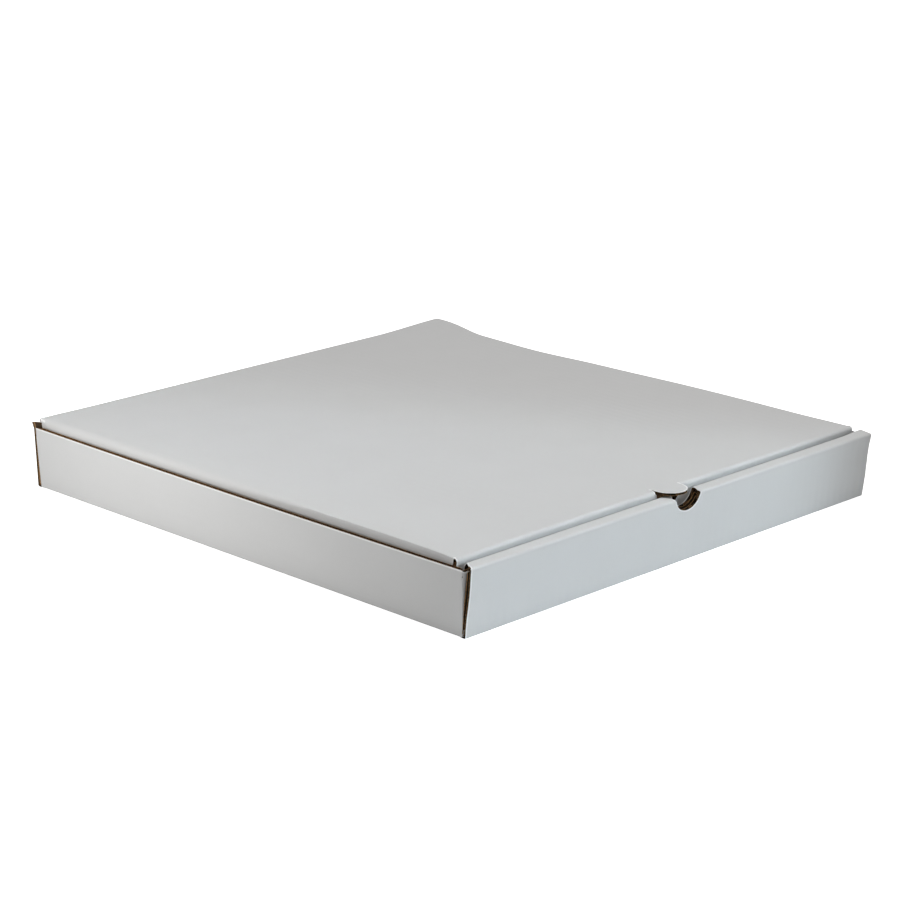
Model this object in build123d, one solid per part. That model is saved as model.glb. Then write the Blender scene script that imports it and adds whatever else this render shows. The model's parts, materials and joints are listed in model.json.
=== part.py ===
from build123d import *
import os

# A pizza box folded from one blank of corrugated card, closed, standing on its bottom.
# X runs to the right seen from the front, Y to the back and Z up. The origin is the middle of the
# bottom's underside. The tray and the lid are one card in life and part only at the lid's fold.

# The card
board = 2.8
crease_out = 2.8
crease_in = 0.4
fit_gap = 0.3
overrun = 5.0

# The tray, over its outer faces at the foot of the walls, and how far each wall leans out at the top
box_width = 336.0
box_depth = 354.0
side_height = 36.8
crown_height = 38.6
side_lean = 1.1
front_lean = 2.7
back_lean = 1.3

# The double front wall
inner_panel_inset = 5.0
lock_tab_width = 42.0
lock_tab_spacing = 190.0
notch_radius = 10.7
notch_depth = 8.6
notch_shift = 3.5

# The corner flaps, which fold in from the ends of the side walls
corner_flap_length = 62.0
corner_flap_drop = 1.2
corner_flap_taper = 9.0

# The lid
lid_inset = 4.1
lid_front_gap = 1.3
lid_rest_gap = 0.3
side_flap_depth = 32.0
side_flap_front_gap = 2.2
side_flap_taper = 14.0
tuck_flap_depth = 32.0
tuck_flap_lean = 3.0
tuck_flap_taper = 12.0
tongue_radius = 10.0
tongue_shift = -1.0

# Places worked out from the sizes above
half_width = box_width / 2
half_depth = box_depth / 2
wall_gap = board + 2 * fit_gap
crown_width = 2 * board + wall_gap
crown_front = -half_depth - front_lean
crown_back = crown_front + crown_width
inner_panel_foot = board + 2 * fit_gap
lid_top = crown_height + lid_rest_gap + board
hinge_y = half_depth + back_lean
corner_fold_y = half_depth - board - fit_gap
side_wall_end = corner_fold_y - crease_out
lid_half_width = half_width - lid_inset
lid_front = crown_back + lid_front_gap
side_flap_front = lid_front + board + side_flap_front_gap
side_flap_back = corner_fold_y - board - fit_gap


def other_face(points):
    """The card's other face: the line moved one board to the right of the way it runs, mitred."""
    moved = []
    for index, point in enumerate(points):
        nearest = [points[max(index - 1, 0)], point, points[min(index + 1, len(points) - 1)]]
        ways = [end - start for start, end in zip(nearest, nearest[1:]) if end != start]
        across = [Vector(way.Y, -way.X).normalized() for way in ways]
        moved.append(point + (across[0] + across[-1]) * (board / (1 + across[0].dot(across[-1]))))
    return moved


def card_section(*corners):
    """A strip of card seen end on: one board thick to the right of the line, rounded at its folds."""
    front = [Vector(*corner) for corner in corners]
    back = other_face(front)
    if len(corners) == 2:
        return make_face(Polyline(front[0], front[1], back[1], back[0], close=True))
    outside = FilletPolyline(*front, radius=crease_out)
    inside = FilletPolyline(*back, radius=crease_in)
    ends = [Line(front[-1], back[-1]), Line(back[0], front[0])]
    return make_face(outside.edges() + inside.edges() + [line.edge() for line in ends])


def across_box(section, half_length):
    """Pull a section drawn in Y and Z along X, as far to the left as to the right."""
    return extrude(Plane.YZ * section, half_length, both=True)


def along_box(section, start, end):
    """Pull a section drawn in X and Z along Y, from start to end."""
    return extrude(Plane.XZ.offset(-end) * section, end - start)


def leaning_prism(outline, low, high, lean):
    """Pull an outline drawn in X and Y up from low to high, in a wall that leans by lean at the crown."""
    way = lean + Vector(0, 0, crown_height)
    base = Pos(way * (low / crown_height)) * outline
    return extrude(base, way.length * (high - low) / crown_height, dir=way.normalized())


def both_sides(solid):
    """A left-hand solid and its mirror image on the right."""
    return solid + mirror(solid, about=Plane.YZ)


def slant(tip, along, down):
    """A triangle that slants the free corner of a flap, from the tip along and down."""
    beyond_share = 1.5
    low = (tip[0] + along * beyond_share, tip[1] - down * beyond_share)
    away = tip[0] - overrun * along / abs(along)
    return make_face(Polyline(tip, low, (away, low[1]), (away, tip[1]), close=True))


# Tray

def bottom_and_side_walls():
    """The bottom and the two side walls, one bent strip along the box."""
    top_x = half_width + side_lean * side_height / crown_height
    section = card_section(
        (top_x, side_height),
        (half_width, 0),
        (-half_width, 0),
        (-top_x, side_height),
    )
    return along_box(section, -side_wall_end, side_wall_end)


def corner_flap(fold_y, lean):
    """The left corner flap at the fold at fold_y, with its fold to the side wall."""
    way = fold_y / abs(fold_y)
    tail = fold_y - way * 2 * crease_out
    tip = corner_flap_length - half_width
    corners = [(tip, fold_y), (-half_width, fold_y), (-half_width, tail)]
    if way > 0:
        corners.reverse()
    high = side_height - corner_flap_drop
    flap = leaning_prism(card_section(*corners), board + fit_gap, high, lean)
    free_corner = slant((tip, board), -corner_flap_taper, -high)
    return flap - extrude(Plane.XZ * free_corner, box_depth, both=True)


def front_wall():
    """The outer panel, the crown and the inner panel, one strip rolled over the front corner flaps."""
    foot_y = crown_back + front_lean * (1 - inner_panel_foot / crown_height)
    section = card_section(
        (-side_wall_end, 0),
        (-half_depth, 0),
        (crown_front, crown_height),
        (crown_back, crown_height),
        (foot_y, inner_panel_foot),
    )
    return across_box(section, half_width) - both_sides(front_wall_end()) - thumb_notch()


def front_wall_end():
    """What is trimmed off the left end of the crown and the inner panel to clear the side wall."""
    panel_back = -half_depth + board
    inset_x = inner_panel_inset - half_width
    outline = Polyline(
        (-half_width, panel_back),
        (inset_x, panel_back + wall_gap),
        (inset_x, panel_back + crown_width),
        (-half_width - overrun, panel_back + crown_width),
        (-half_width - overrun, panel_back),
        close=True,
    )
    return leaning_prism(make_face(outline), board, crown_height + overrun, Vector(0, -front_lean, 0))


def thumb_notch():
    """The half-round thumb notch through the whole front wall."""
    drill = Cylinder(notch_radius, crown_width + 2 * front_lean + 2 * overrun, rotation=(90, 0, 0))
    middle = (crown_front + crown_back) / 2
    return Pos(notch_shift, middle, crown_height - notch_depth + notch_radius) * drill


def at_lock_tabs(solid):
    """The same solid at both lock tabs."""
    return Pos(-lock_tab_spacing / 2, 0, 0) * solid + Pos(lock_tab_spacing / 2, 0, 0) * solid


def lock_tab():
    """The tongue under the inner panel that stands in a slot of the bottom."""
    top_z = 2 * inner_panel_foot
    ends = [(crown_back + front_lean * (1 - z / crown_height), z) for z in (top_z, fit_gap)]
    return across_box(card_section(*ends), lock_tab_width / 2)


def lock_slot():
    """The slot in the bottom that a lock tab stands in."""
    slot = Box(
        lock_tab_width + 2 * fit_gap,
        board + 4 * fit_gap,
        board + fit_gap + overrun,
        align=(Align.CENTER, Align.MAX, Align.MAX),
    )
    return Pos(0, crown_width - half_depth + 2 * fit_gap, board + fit_gap) * slot


def hinge_section():
    """The card from the lid's back edge over the fold and down the back wall to the bottom."""
    return card_section(
        (side_flap_back, lid_top),
        (hinge_y, lid_top),
        (half_depth, 0),
        (side_wall_end, 0),
    )


def beyond_mitre(turn):
    """All that lies beyond the mitre through the lid's fold, and half of the gap there."""
    size = 2 * box_depth
    block = Pos(0, 0, -fit_gap / 2) * Box(size, size, size, align=(Align.CENTER, Align.CENTER, Align.MIN))
    return Pos(0, hinge_y, lid_top) * Rot(turn, 0, 0) * block


def back_wall():
    """The back wall, up to its half of the mitred fold that carries the lid."""
    return across_box(hinge_section(), half_width) - beyond_mitre(45)


def tray():
    """The whole tray, folded from one card."""
    front_flap = corner_flap(-corner_fold_y, Vector(-side_lean, -front_lean, 0))
    back_flap = corner_flap(corner_fold_y, Vector(-side_lean, back_lean, 0))
    card = bottom_and_side_walls() + front_wall() + back_wall() - at_lock_tabs(lock_slot())
    return card + both_sides(front_flap + back_flap) + at_lock_tabs(lock_tab())


# Lid

def panel_and_side_flaps():
    """The lid's panel with its two side flaps, one bent strip along the box."""
    flap_low = lid_top - side_flap_depth
    section = card_section(
        (-lid_half_width, flap_low),
        (-lid_half_width, lid_top),
        (lid_half_width, lid_top),
        (lid_half_width, flap_low),
    )
    strip = along_box(section, side_flap_front, side_flap_back)
    fall = side_flap_depth - board
    front = slant((side_flap_front, lid_top - board), side_flap_taper, fall)
    back = slant((side_flap_back, lid_top - board), -side_flap_taper, fall)
    return strip - across_box(front, box_width) - across_box(back, box_width)


def front_edge_and_tuck_flap():
    """The lid's front edge, from corner to corner, with the flap that tucks in behind the front wall."""
    section = card_section(
        (lid_front + tuck_flap_lean, lid_top - tuck_flap_depth),
        (lid_front, lid_top),
        (side_flap_front, lid_top),
    )
    strip = across_box(section, lid_half_width)
    free_corner = slant((-lid_half_width, lid_top - board), tuck_flap_taper, tuck_flap_depth - board)
    return strip - both_sides(extrude(Plane.XZ * free_corner, box_depth, both=True))


def tongue():
    """The half-round tongue that lies over the crown, in the plane of the lid."""
    disc = Cylinder(tongue_radius, board, align=(Align.CENTER, Align.CENTER, Align.MAX))
    return Pos(tongue_shift, lid_front, lid_top) * disc


def tongue_window():
    """The window that the tongue leaves in the tuck flap, below the lid's panel."""
    reach = tuck_flap_lean + board + overrun
    drill = Cylinder(tongue_radius + fit_gap, 2 * reach, rotation=(90, 0, 0))
    size = 4 * tongue_radius
    block = Box(size, size, size, align=(Align.CENTER, Align.CENTER, Align.MAX))
    return Pos(tongue_shift, lid_front, lid_top) * (drill & Pos(0, 0, -board) * block)


def back_edge():
    """The lid's back edge, up to its half of the mitred fold."""
    return across_box(hinge_section(), lid_half_width) - beyond_mitre(225)


def lid():
    """The whole lid, one card with the tray in life."""
    return panel_and_side_flaps() + front_edge_and_tuck_flap() - tongue_window() + tongue() + back_edge()


def write_nodes():
    """Make both nodes and write one STEP file for each."""
    os.makedirs("parts", exist_ok=True)
    export_step(tray(), "parts/tray.step")
    export_step(lid(), "parts/lid.step")


write_nodes()
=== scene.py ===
"""The finish of a folded white card pizza box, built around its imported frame.

The card is drawn flat, as the die cuts it, and every point of it is then folded up by the box's creases.
It has a white liner, a kraft liner and a fluted sheet between them that shows at the raw edges.
"""

import json
import logging
import math
from collections.abc import Callable
from dataclasses import dataclass
from enum import Enum

import bpy
import numpy as np
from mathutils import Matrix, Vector
from mathutils.geometry import delaunay_2d_cdt


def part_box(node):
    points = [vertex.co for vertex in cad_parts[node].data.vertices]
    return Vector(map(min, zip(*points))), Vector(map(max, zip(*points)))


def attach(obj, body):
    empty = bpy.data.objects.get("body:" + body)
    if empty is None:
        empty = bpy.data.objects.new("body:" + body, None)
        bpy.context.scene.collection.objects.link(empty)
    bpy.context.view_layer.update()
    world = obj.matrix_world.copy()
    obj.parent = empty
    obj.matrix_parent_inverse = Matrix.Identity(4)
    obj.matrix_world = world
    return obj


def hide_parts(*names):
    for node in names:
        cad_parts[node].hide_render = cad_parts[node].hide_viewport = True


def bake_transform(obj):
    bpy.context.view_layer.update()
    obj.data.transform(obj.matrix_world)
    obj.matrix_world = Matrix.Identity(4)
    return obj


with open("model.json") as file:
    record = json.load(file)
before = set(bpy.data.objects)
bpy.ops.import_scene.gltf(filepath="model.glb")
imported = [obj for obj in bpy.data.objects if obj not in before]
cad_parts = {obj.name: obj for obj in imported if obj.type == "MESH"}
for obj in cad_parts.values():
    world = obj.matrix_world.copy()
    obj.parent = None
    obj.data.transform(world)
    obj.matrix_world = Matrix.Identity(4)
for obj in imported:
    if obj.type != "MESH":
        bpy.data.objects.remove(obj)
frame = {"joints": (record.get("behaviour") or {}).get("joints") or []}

log = logging.getLogger("pizza_box")

# One millimetre in Blender's metres. Every size below is in millimetres unless its name says otherwise.
MM = 0.001
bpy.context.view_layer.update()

Loop = list[tuple[float, float]]
Span = tuple[float, float]
Colour = tuple[float, float, float, float]
Folding = Callable[[np.ndarray], np.ndarray]


class CardSide(Enum):
    """The surfaces of the card, which are also its material slots."""

    WHITE = 0
    KRAFT = 1
    WHITE_CUT = 2
    KRAFT_CUT = 3
    MEDIUM = 4
    # Painted shade: the faces inside the board, dark for the shade in the flutes.
    HOLLOW_SHADE = 5
    # Painted shade: the kraft in narrow gaps, near black for the shade that falls there.
    KRAFT_SHADED = 6


@dataclass(frozen=True)
class CardSizes:
    """The board itself, white liner, fluted medium and kraft liner, and how sharply it folds.

    Attributes:
        board: Its thickness.
        liner: The thickness of each liner.
        medium: The thickness of the fluted medium.
        flute_pitch: From one flute to the next.
        groove: How far in from a raw edge the hollow between the liners is open.
        edge_set_back: How far inside the raw edge the medium ends.
        foot_radius: The outer radius of the creases round the bottom.
        crown_radius: That of the front wall's two upper creases.
        corner_radius: That of the corner flaps' creases.
        hinge_radius: That of the crease that the lid opens at.
        lid_side_radius: That of the lid's left crease where it is softest.
        lid_crisp_radius: That of the lid's side creases elsewhere.
        lid_front_radius: That of the lid's front crease.
    """

    board: float = 2.8
    liner: float = 0.32
    medium: float = 0.22
    flute_pitch: float = 6.1
    groove: float = 2.6
    edge_set_back: float = 0.2
    foot_radius: float = 1.1
    crown_radius: float = 1.3
    corner_radius: float = 0.8
    hinge_radius: float = 0.4
    lid_side_radius: float = 5.0
    lid_crisp_radius: float = 1.0
    lid_front_radius: float = 2.0


@dataclass(frozen=True)
class BoxSizes:
    """The folded box, over its outer faces, read from the frame where the frame shows it.

    Attributes:
        notch_skew: How far the notch in the inner panel lies to the right of that in the outer one.
        slit: The width of the cuts that free the corner flaps from the bottom and the back wall.
        lid_slit: The width of the cuts between the lid's side flaps and its tuck flap.
        tuck_upright: How deep the tuck flap's ends run straight down before they taper.
        torn_widths: How far the torn root of the tongue reaches to its left, from its front to its back.
        torn_depth: How far the tear runs into the lid.
        left_ear_height: How high the ear beside the hinge stands at the left.
        right_ear_height: How high it stands at the right.
        left_crown_inset: How far the crown's back corner is trimmed at the left.
        right_crown_foot: How far below the side wall's top the crown's right end begins.
        right_crown_top: How far above it that end is at its full width.
        hinge_margin: How much straight card the fold's two halves have beside its bend.
        front_fold_out: How far out of their place the front corner flaps' creases lie.
        front_fold_lean: How far those creases lean to the front at the crown.
        back_fold_out: How far out of their place the back corner flaps' creases lie.
        soft_crease_end: Where in y the lid's left crease starts to turn crisp, and where it is quite crisp.
    """

    half_width: float
    half_depth: float
    lid_top: float
    lid_half_width: float
    lid_front: float
    side_height: float = 36.8
    crown_height: float = 38.6
    crown_width: float = 9.0
    side_lean: float = 1.1
    front_lean: float = 2.7
    back_lean: float = 1.3
    fit_gap: float = 0.3
    inner_panel_inset: float = 5.0
    inner_panel_foot: float = 3.4
    lock_tab_width: float = 42.0
    lock_tab_spacing: float = 190.0
    notch_radius: float = 10.7
    notch_depth: float = 8.6
    notch_shift: float = 3.5
    notch_skew: float = 2.9
    corner_flap_length: float = 62.0
    corner_flap_drop: float = 1.2
    corner_flap_taper: float = 9.0
    side_flap_depth: float = 32.0
    side_flap_front: float = -165.8
    side_flap_back: float = 170.8
    side_flap_taper: float = 14.0
    tuck_flap_depth: float = 32.0
    tuck_flap_lean: float = 3.0
    tuck_flap_taper: float = 12.0
    tongue_radius: float = 10.0
    tongue_shift: float = -1.0
    slit: float = 0.4
    lid_slit: float = 1.1
    tuck_upright: float = 9.0
    torn_widths: tuple[float, float, float] = (1.3, 1.1, 0.6)
    torn_depth: float = 2.6
    left_ear_height: float = 39.4
    right_ear_height: float = 38.4
    left_crown_inset: float = 6.5
    right_crown_foot: float = 1.0
    right_crown_top: float = 0.6
    hinge_margin: float = 4.2
    front_fold_out: float = 0.85
    front_fold_lean: float = 0.75
    back_fold_out: float = 0.4
    soft_crease_end: Span = (30.0, -70.0)

    @classmethod
    def from_frame(cls) -> "BoxSizes":
        """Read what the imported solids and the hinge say.

        Returns:
            The sizes, with the rest at their own values.
        """
        hinge = next(joint for joint in frame["joints"] if joint["name"] == "lid_hinge")["pos_m"]
        tray_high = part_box("tray")[1] / MM
        lid_low, lid_high = (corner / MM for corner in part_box("lid"))
        wall_top_share = cls.side_height / cls.crown_height
        return cls(
            half_width=tray_high.x - cls.side_lean * wall_top_share,
            half_depth=hinge[1] / MM - cls.back_lean,
            lid_top=hinge[2] / MM,
            lid_half_width=lid_high.x,
            lid_front=lid_low.y + cls.tongue_radius,
        )


@dataclass(frozen=True)
class Fold:
    """One crease. All of the card beyond it turns up towards the kraft side.

    Attributes:
        start: A flat point on the line where the bend begins.
        way: The flat unit vector that points across the crease, away from the bottom's middle.
        angle: How far the card turns, in radians.
        radius: The radius of the bend's outer face.
    """

    start: tuple[float, float]
    way: tuple[float, float]
    angle: float
    radius: float

    @property
    def length(self) -> float:
        """The flat length of card that the bend takes up."""
        return self.angle * self.radius

    @property
    def tangent(self) -> float:
        """How far the bend's ends lie from the corner where the two outer faces would meet."""
        return self.radius * math.tan(self.angle / 2)

    def bend(self, points: np.ndarray, flat: np.ndarray, radius: np.ndarray | None = None) -> np.ndarray:
        """Fold points up over the crease.

        Where the card is thicker than the bend's radius, its inner side meets in a mitre.

        Args:
            points: Rows of u, v and w, with w the depth from the white face, already folded further out.
            flat: The same points on the flat card, which say how far each one lies beyond the crease.
            radius: The bend's outer radius at each point, where it isn't the same all along the crease.

        Returns:
            The moved points.
        """
        half = math.tan(self.angle / 2)
        radius = np.full(len(points), self.radius) if radius is None else radius
        way = np.array(self.way)
        offset = (self.radius - radius) * half
        beyond = (points[:, :2] - np.array(self.start)) @ way - offset
        flat_beyond = (flat[:, :2] - np.array(self.start)) @ way - offset
        length = self.angle * radius
        turned = np.clip(flat_beyond / radius, 0, self.angle)
        mitre = np.maximum(flat[:, 2] - radius, 0) * half
        past, on_arc = flat_beyond > 0, (flat_beyond > 0) & (flat_beyond <= length)
        rest = np.where(on_arc, 0, beyond - length)
        rest = np.where(past & ~on_arc & (flat_beyond - length < mitre), mitre, rest)
        arm = radius - points[:, 2]
        out = arm * np.sin(turned) + rest * np.cos(turned)
        up = radius - arm * np.cos(turned) + rest * np.sin(turned)
        pinched = (on_arc & (mitre > 0)) | (~past & (flat_beyond > -mitre))
        out = np.where(pinched, -mitre, out)
        up = np.where(pinched, points[:, 2], up)
        changed = past | pinched
        moved = points.copy()
        moved[changed, :2] += (out - beyond)[changed, None] * way
        moved[changed, 2] = up[changed]
        return moved


def strip_folds(
    way: tuple[float, float], lengths: list[float], angles: list[float], radii: list[float]
) -> list[Fold]:
    """Lay creases one after another along a strip that starts at the bottom's middle.

    Args:
        way: The flat direction in which the strip runs.
        lengths: The outer face's length before each corner.
        angles: How far the card turns at each corner.
        radii: The bend's outer radius at each corner.

    Returns:
        The folds, the one nearest the bottom first.
    """
    folds: list[Fold] = []
    place, tangent = 0.0, 0.0
    for length, angle, radius in zip(lengths, angles, radii):
        place += length - tangent - radius * math.tan(angle / 2)
        folds.append(Fold((way[0] * place, way[1] * place), way, angle, radius))
        place += folds[-1].length
        tangent = folds[-1].tangent
    return folds


def arc(centre: tuple[float, float], radius: float, first: float, last: float, count: int = 24) -> Loop:
    """Points on an arc.

    Args:
        centre: The middle of the arc.
        radius: Its radius.
        first: The angle of its first point, in degrees.
        last: The angle of its last point, in degrees.
        count: How many steps it has.

    Returns:
        The points, both ends among them.
    """
    angles = [math.radians(first + (last - first) * step / count) for step in range(count + 1)]
    return [(centre[0] + radius * math.cos(a), centre[1] + radius * math.sin(a)) for a in angles]


def ease(value: np.ndarray, low: float, high: float) -> np.ndarray:
    """A smooth step from 0 at the low value to 1 at the high one."""
    share = np.clip((value - low) / (high - low), 0, 1)
    return share**2 * (3 - 2 * share)


def bell(value: np.ndarray, middle: float, width: float) -> np.ndarray:
    """A smooth bump of height 1 at the middle that fades out over the width on both sides."""
    return np.exp(-(((value - middle) / width) ** 2))


class Blank:
    """The flat die-cut card, with its creases, and the way from the flat card to the folded box."""

    def __init__(self, card: CardSizes, box: BoxSizes) -> None:
        """Work out every crease.

        Args:
            card: The board's sizes.
            box: The folded box's sizes.
        """
        self.card = card
        self.box = box
        quarter = math.pi / 2
        front_slope = math.atan(box.front_lean / box.crown_height)
        side_slope = math.atan(box.side_lean / box.crown_height)
        back_slope = math.atan(box.back_lean / box.lid_top)
        tuck_slope = math.atan(box.tuck_flap_lean / box.tuck_flap_depth)
        self.front_stretch = 1 / math.cos(front_slope)
        self.side_stretch = 1 / math.cos(side_slope)
        self.back_stretch = 1 / math.cos(back_slope)
        self.front = strip_folds(
            (0, -1),
            [box.half_depth, box.crown_height * self.front_stretch, box.crown_width],
            [quarter - front_slope, quarter + front_slope, quarter - front_slope],
            [card.foot_radius, card.crown_radius, card.crown_radius],
        )
        hinge_y = box.half_depth + box.back_lean
        self.back = strip_folds(
            (0, 1),
            [box.half_depth, box.lid_top * self.back_stretch, hinge_y - box.lid_front],
            [quarter - back_slope, quarter + back_slope, quarter + tuck_slope],
            [card.foot_radius, card.hinge_radius, card.lid_front_radius],
        )
        self.side_angle = quarter - side_slope
        inner_face = box.half_depth - card.board - box.fit_gap
        self.corner_v = {
            -1: inner_face + box.front_fold_out - card.corner_radius,
            1: inner_face + box.back_fold_out - card.corner_radius,
        }
        self.tuck_stretch = 1 / math.cos(tuck_slope)

    def wall_fold(self, side: int) -> Fold:
        """The crease at the foot of a side wall, side -1 on the left and 1 on the right."""
        return strip_folds((side, 0), [self.box.half_width], [self.side_angle], [self.card.foot_radius])[0]

    def lid_side_fold(self, side: int) -> Fold:
        """The crease between the lid and one of its side flaps."""
        radius = self.card.lid_side_radius
        return strip_folds((side, 0), [self.box.lid_half_width], [math.pi / 2], [radius])[0]

    def wall_u(self, height: float) -> float:
        """How far out a point of a side wall lies when the card is flat.

        Args:
            height: Its height on the folded box.

        Returns:
            Its distance from the card's middle line.
        """
        fold = self.wall_fold(1)
        return fold.start[0] + fold.length + height * self.side_stretch - fold.tangent

    def corner(self, end: int) -> tuple[np.ndarray, np.ndarray, np.ndarray]:
        """Where the right-hand corner flap is hinged on the side wall, end -1 in front and 1 behind.

        Returns:
            The foot of the crease, the way up along it and the way out across it.
        """
        lean = self.box.front_fold_lean if end < 0 else self.box.back_lean
        along = np.array([1.0, end * lean / self.box.crown_height])
        along /= np.linalg.norm(along)
        out = np.array([-end * along[1], end * along[0]])
        return np.array([self.wall_u(0), end * self.corner_v[end]]), along, out

    def corner_fold(self, side: int, end: int) -> Fold:
        """The crease of one corner flap."""
        foot, _, out = self.corner(end)
        start, way = (side * foot[0], foot[1]), (side * out[0], out[1])
        return Fold(start, way, math.pi / 2, self.card.corner_radius)

    def front_v(self, height: float) -> float:
        """The flat place of a height on the outer front panel."""
        fold = self.front[0]
        return fold.start[1] - fold.length - height * self.front_stretch + fold.tangent

    def inner_v(self, height: float) -> float:
        """The flat place of a height on the inner front panel."""
        fold = self.front[2]
        fall = (self.box.crown_height - height) * self.front_stretch
        return fold.start[1] - fold.length - fall + fold.tangent

    def back_v(self, height: float) -> float:
        """The flat place of a height on the back wall."""
        fold = self.back[0]
        return fold.start[1] + fold.length + height * self.back_stretch - fold.tangent

    def lid_v(self, y: float) -> float:
        """The flat place of a place from front to back on the lid."""
        fold = self.back[1]
        return fold.start[1] + fold.length + self.box.half_depth + self.box.back_lean - y - fold.tangent

    def tuck_v(self, depth: float) -> float:
        """The flat place of a depth on the tuck flap, measured down from the lid's top."""
        fold = self.back[2]
        return fold.start[1] + fold.length + depth * self.tuck_stretch - fold.tangent

    def fold_tray(self, points: np.ndarray) -> np.ndarray:
        """Fold flat points of the tray.

        Args:
            points: Rows of u, v and w.

        Returns:
            Rows of x, y and z.
        """
        box = self.box
        u, v = points[:, 0], points[:, 1]
        beyond_wall = np.where(v < 0, v < -self.corner_v[-1], v > self.corner_v[1])
        in_ends = (np.abs(u) < box.half_width + box.slit / 2) & beyond_wall
        walls = (np.abs(u) > abs(self.wall_fold(1).start[0])) & ~in_ends
        folded = points.copy()
        for side in (-1, 1):
            chosen = walls & (u * side > 0)
            folded[chosen] = self._fold_wall(points[chosen], side)
        folded[~walls & (v < 0)] = self._apply(points[~walls & (v < 0)], self.front[::-1])
        folded[~walls & (v >= 0)] = self._apply(points[~walls & (v >= 0)], self.back[:1])
        return folded

    def _fold_wall(self, flat: np.ndarray, side: int) -> np.ndarray:
        """Fold a side wall and its corner flaps, which stay stiff right down to the wall's foot."""
        box, wall = self.box, self.wall_fold(side)
        points = flat
        stiff = flat.copy()
        for end in (-1, 1):
            fold = self.corner_fold(side, end)
            points = fold.bend(points, flat)
            across = (flat[:, :2] - np.array(fold.start)) @ np.array(fold.way)
            raised = side * np.maximum(np.abs(stiff[:, 0]), self.wall_u(box.crown_height))
            stiff[:, 0] = np.where(across > 0, raised, stiff[:, 0])
        soft = wall.bend(points, flat)
        return np.where((stiff[:, 0] != flat[:, 0])[:, None], wall.bend(points, stiff), soft)

    def fold_lid(self, points: np.ndarray) -> np.ndarray:
        """Fold flat points of the lid, or of the fold between lid and tray.

        Args:
            points: Rows of u, v and w.

        Returns:
            Rows of x, y and z.
        """
        box, card = self.box, self.card
        u, v = points[:, 0], points[:, 1]
        folded = points.copy()
        from_hinge = ease(v, self.hinge_middle, self.hinge_middle + 4 * card.board)
        soft = from_hinge * (1 - ease(v, *(self.lid_v(y) for y in box.soft_crease_end)))
        radius = card.lid_crisp_radius + (card.lid_side_radius - card.lid_crisp_radius) * soft * (u < 0)
        beside = v < self.lid_v(box.side_flap_front) + box.lid_slit / 2
        for side in (-1, 1):
            fold = self.lid_side_fold(side)
            folded[beside] = fold.bend(folded[beside], points[beside], radius[beside])
        centre = self.tongue_centre()
        tongue = np.hypot(u - centre[0], v - centre[1]) < box.tongue_radius + box.fit_gap / 2
        tuck = (v > self.lid_v(box.side_flap_front)) & ~tongue
        folded[tuck] = self.back[2].bend(folded[tuck], points[tuck])
        for fold in (self.back[1], self.back[0]):
            folded = fold.bend(folded, points)
        return folded

    @staticmethod
    def _apply(points: np.ndarray, folds: list[Fold]) -> np.ndarray:
        """Fold points over a row of creases, the one furthest from the bottom first."""
        flat = points
        for fold in folds:
            points = fold.bend(points, flat)
        return points

    def tongue_centre(self) -> tuple[float, float]:
        """The flat middle of the half-round tongue, on the lid's front crease."""
        return (self.box.tongue_shift, self.lid_v(self.box.lid_front))

    def tray_outline(self) -> Loop:
        """The tray's cut edge, counter-clockwise, ending at the lid's crease.

        Returns:
            The corners of the outline. Its last side is the one that the hinge joins.
        """
        box = self.box
        inner = box.half_width - box.inner_panel_inset
        crown_mid = self.front[1].start[1] - self.front[1].length / 2
        crown_back = self.front[2].start[1] - self.front[2].length / 2
        left_end = [
            (inner, self.inner_v(box.side_height)),
            (box.half_width - box.left_crown_inset, crown_back),
        ]
        right_end = [
            (inner, self.inner_v(box.side_height - box.right_crown_foot)),
            (box.half_width, self.inner_v(box.side_height + box.right_crown_top)),
        ]
        left = self._half_outline([*left_end, (box.half_width, crown_mid)], box.left_ear_height)
        right = self._half_outline([*right_end, (box.half_width, crown_mid)], box.right_ear_height)
        return right + [(-u, v) for u, v in reversed(left)]

    def _half_outline(self, crown_end: Loop, ear_height: float) -> Loop:
        """One half of the tray's cut edge, drawn on the right.

        Args:
            crown_end: The end of the crown, from the inner panel outwards.
            ear_height: How high the ear beside the lid's crease stands.

        Returns:
            The corners, from the first lock tab round to the lid's crease.
        """
        box = self.box
        tab_low = self.inner_v(box.fit_gap)
        tab_near = (box.lock_tab_spacing - box.lock_tab_width) / 2
        tab_far = tab_near + box.lock_tab_width
        foot = self.inner_v(box.inner_panel_foot)
        half: Loop = [(tab_near, foot), (tab_near, tab_low), (tab_far, tab_low), (tab_far, foot)]
        half += [(box.half_width - box.inner_panel_inset, foot), *crown_end]
        half += self._corner_outline(-1)
        half += self._corner_outline(1)[::-1]
        half += [(box.half_width, self.back_v(ear_height)), (self.ear_inside, self.back_v(ear_height))]
        return half + [(self.ear_inside, self.hinge_start)]

    def _corner_outline(self, end: int) -> Loop:
        """One right-hand corner: the slit beside the wall and the corner flap, from the slit outwards."""
        box = self.box
        foot, along, out = self.corner(end)
        edge = box.half_width + box.slit
        low = (edge - foot[0]) / (along[0] * self.side_stretch)
        high = box.side_height - box.corner_flap_drop
        tip = box.corner_flap_length + self.corner_fold(1, end).length - self.card.corner_radius
        low_tip = low - out[0] * tip
        marks = [(low_tip, tip), (high, tip - box.corner_flap_taper), (high, 3 * self.card.corner_radius)]
        marks += [(box.side_height, 0)]
        flap = [tuple(foot + along * height * self.side_stretch + out * reach) for height, reach in marks]
        return [(box.half_width, end * self.corner_v[end]), (edge, end * self.corner_v[end]), *flap]

    def notch_outline(self) -> Loop:
        """The thumb notch, cut through the outer panel, the crown and the inner panel."""
        box = self.box
        bottom = box.crown_height - box.notch_depth
        outer = (box.notch_shift, self.front_v(bottom) - box.notch_radius)
        inner_radius = box.notch_radius - box.slit
        inner = (box.notch_shift + box.notch_skew, self.inner_v(bottom) + inner_radius)
        return arc(outer, box.notch_radius, 0, 180) + arc(inner, inner_radius, 180, 360)

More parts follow.
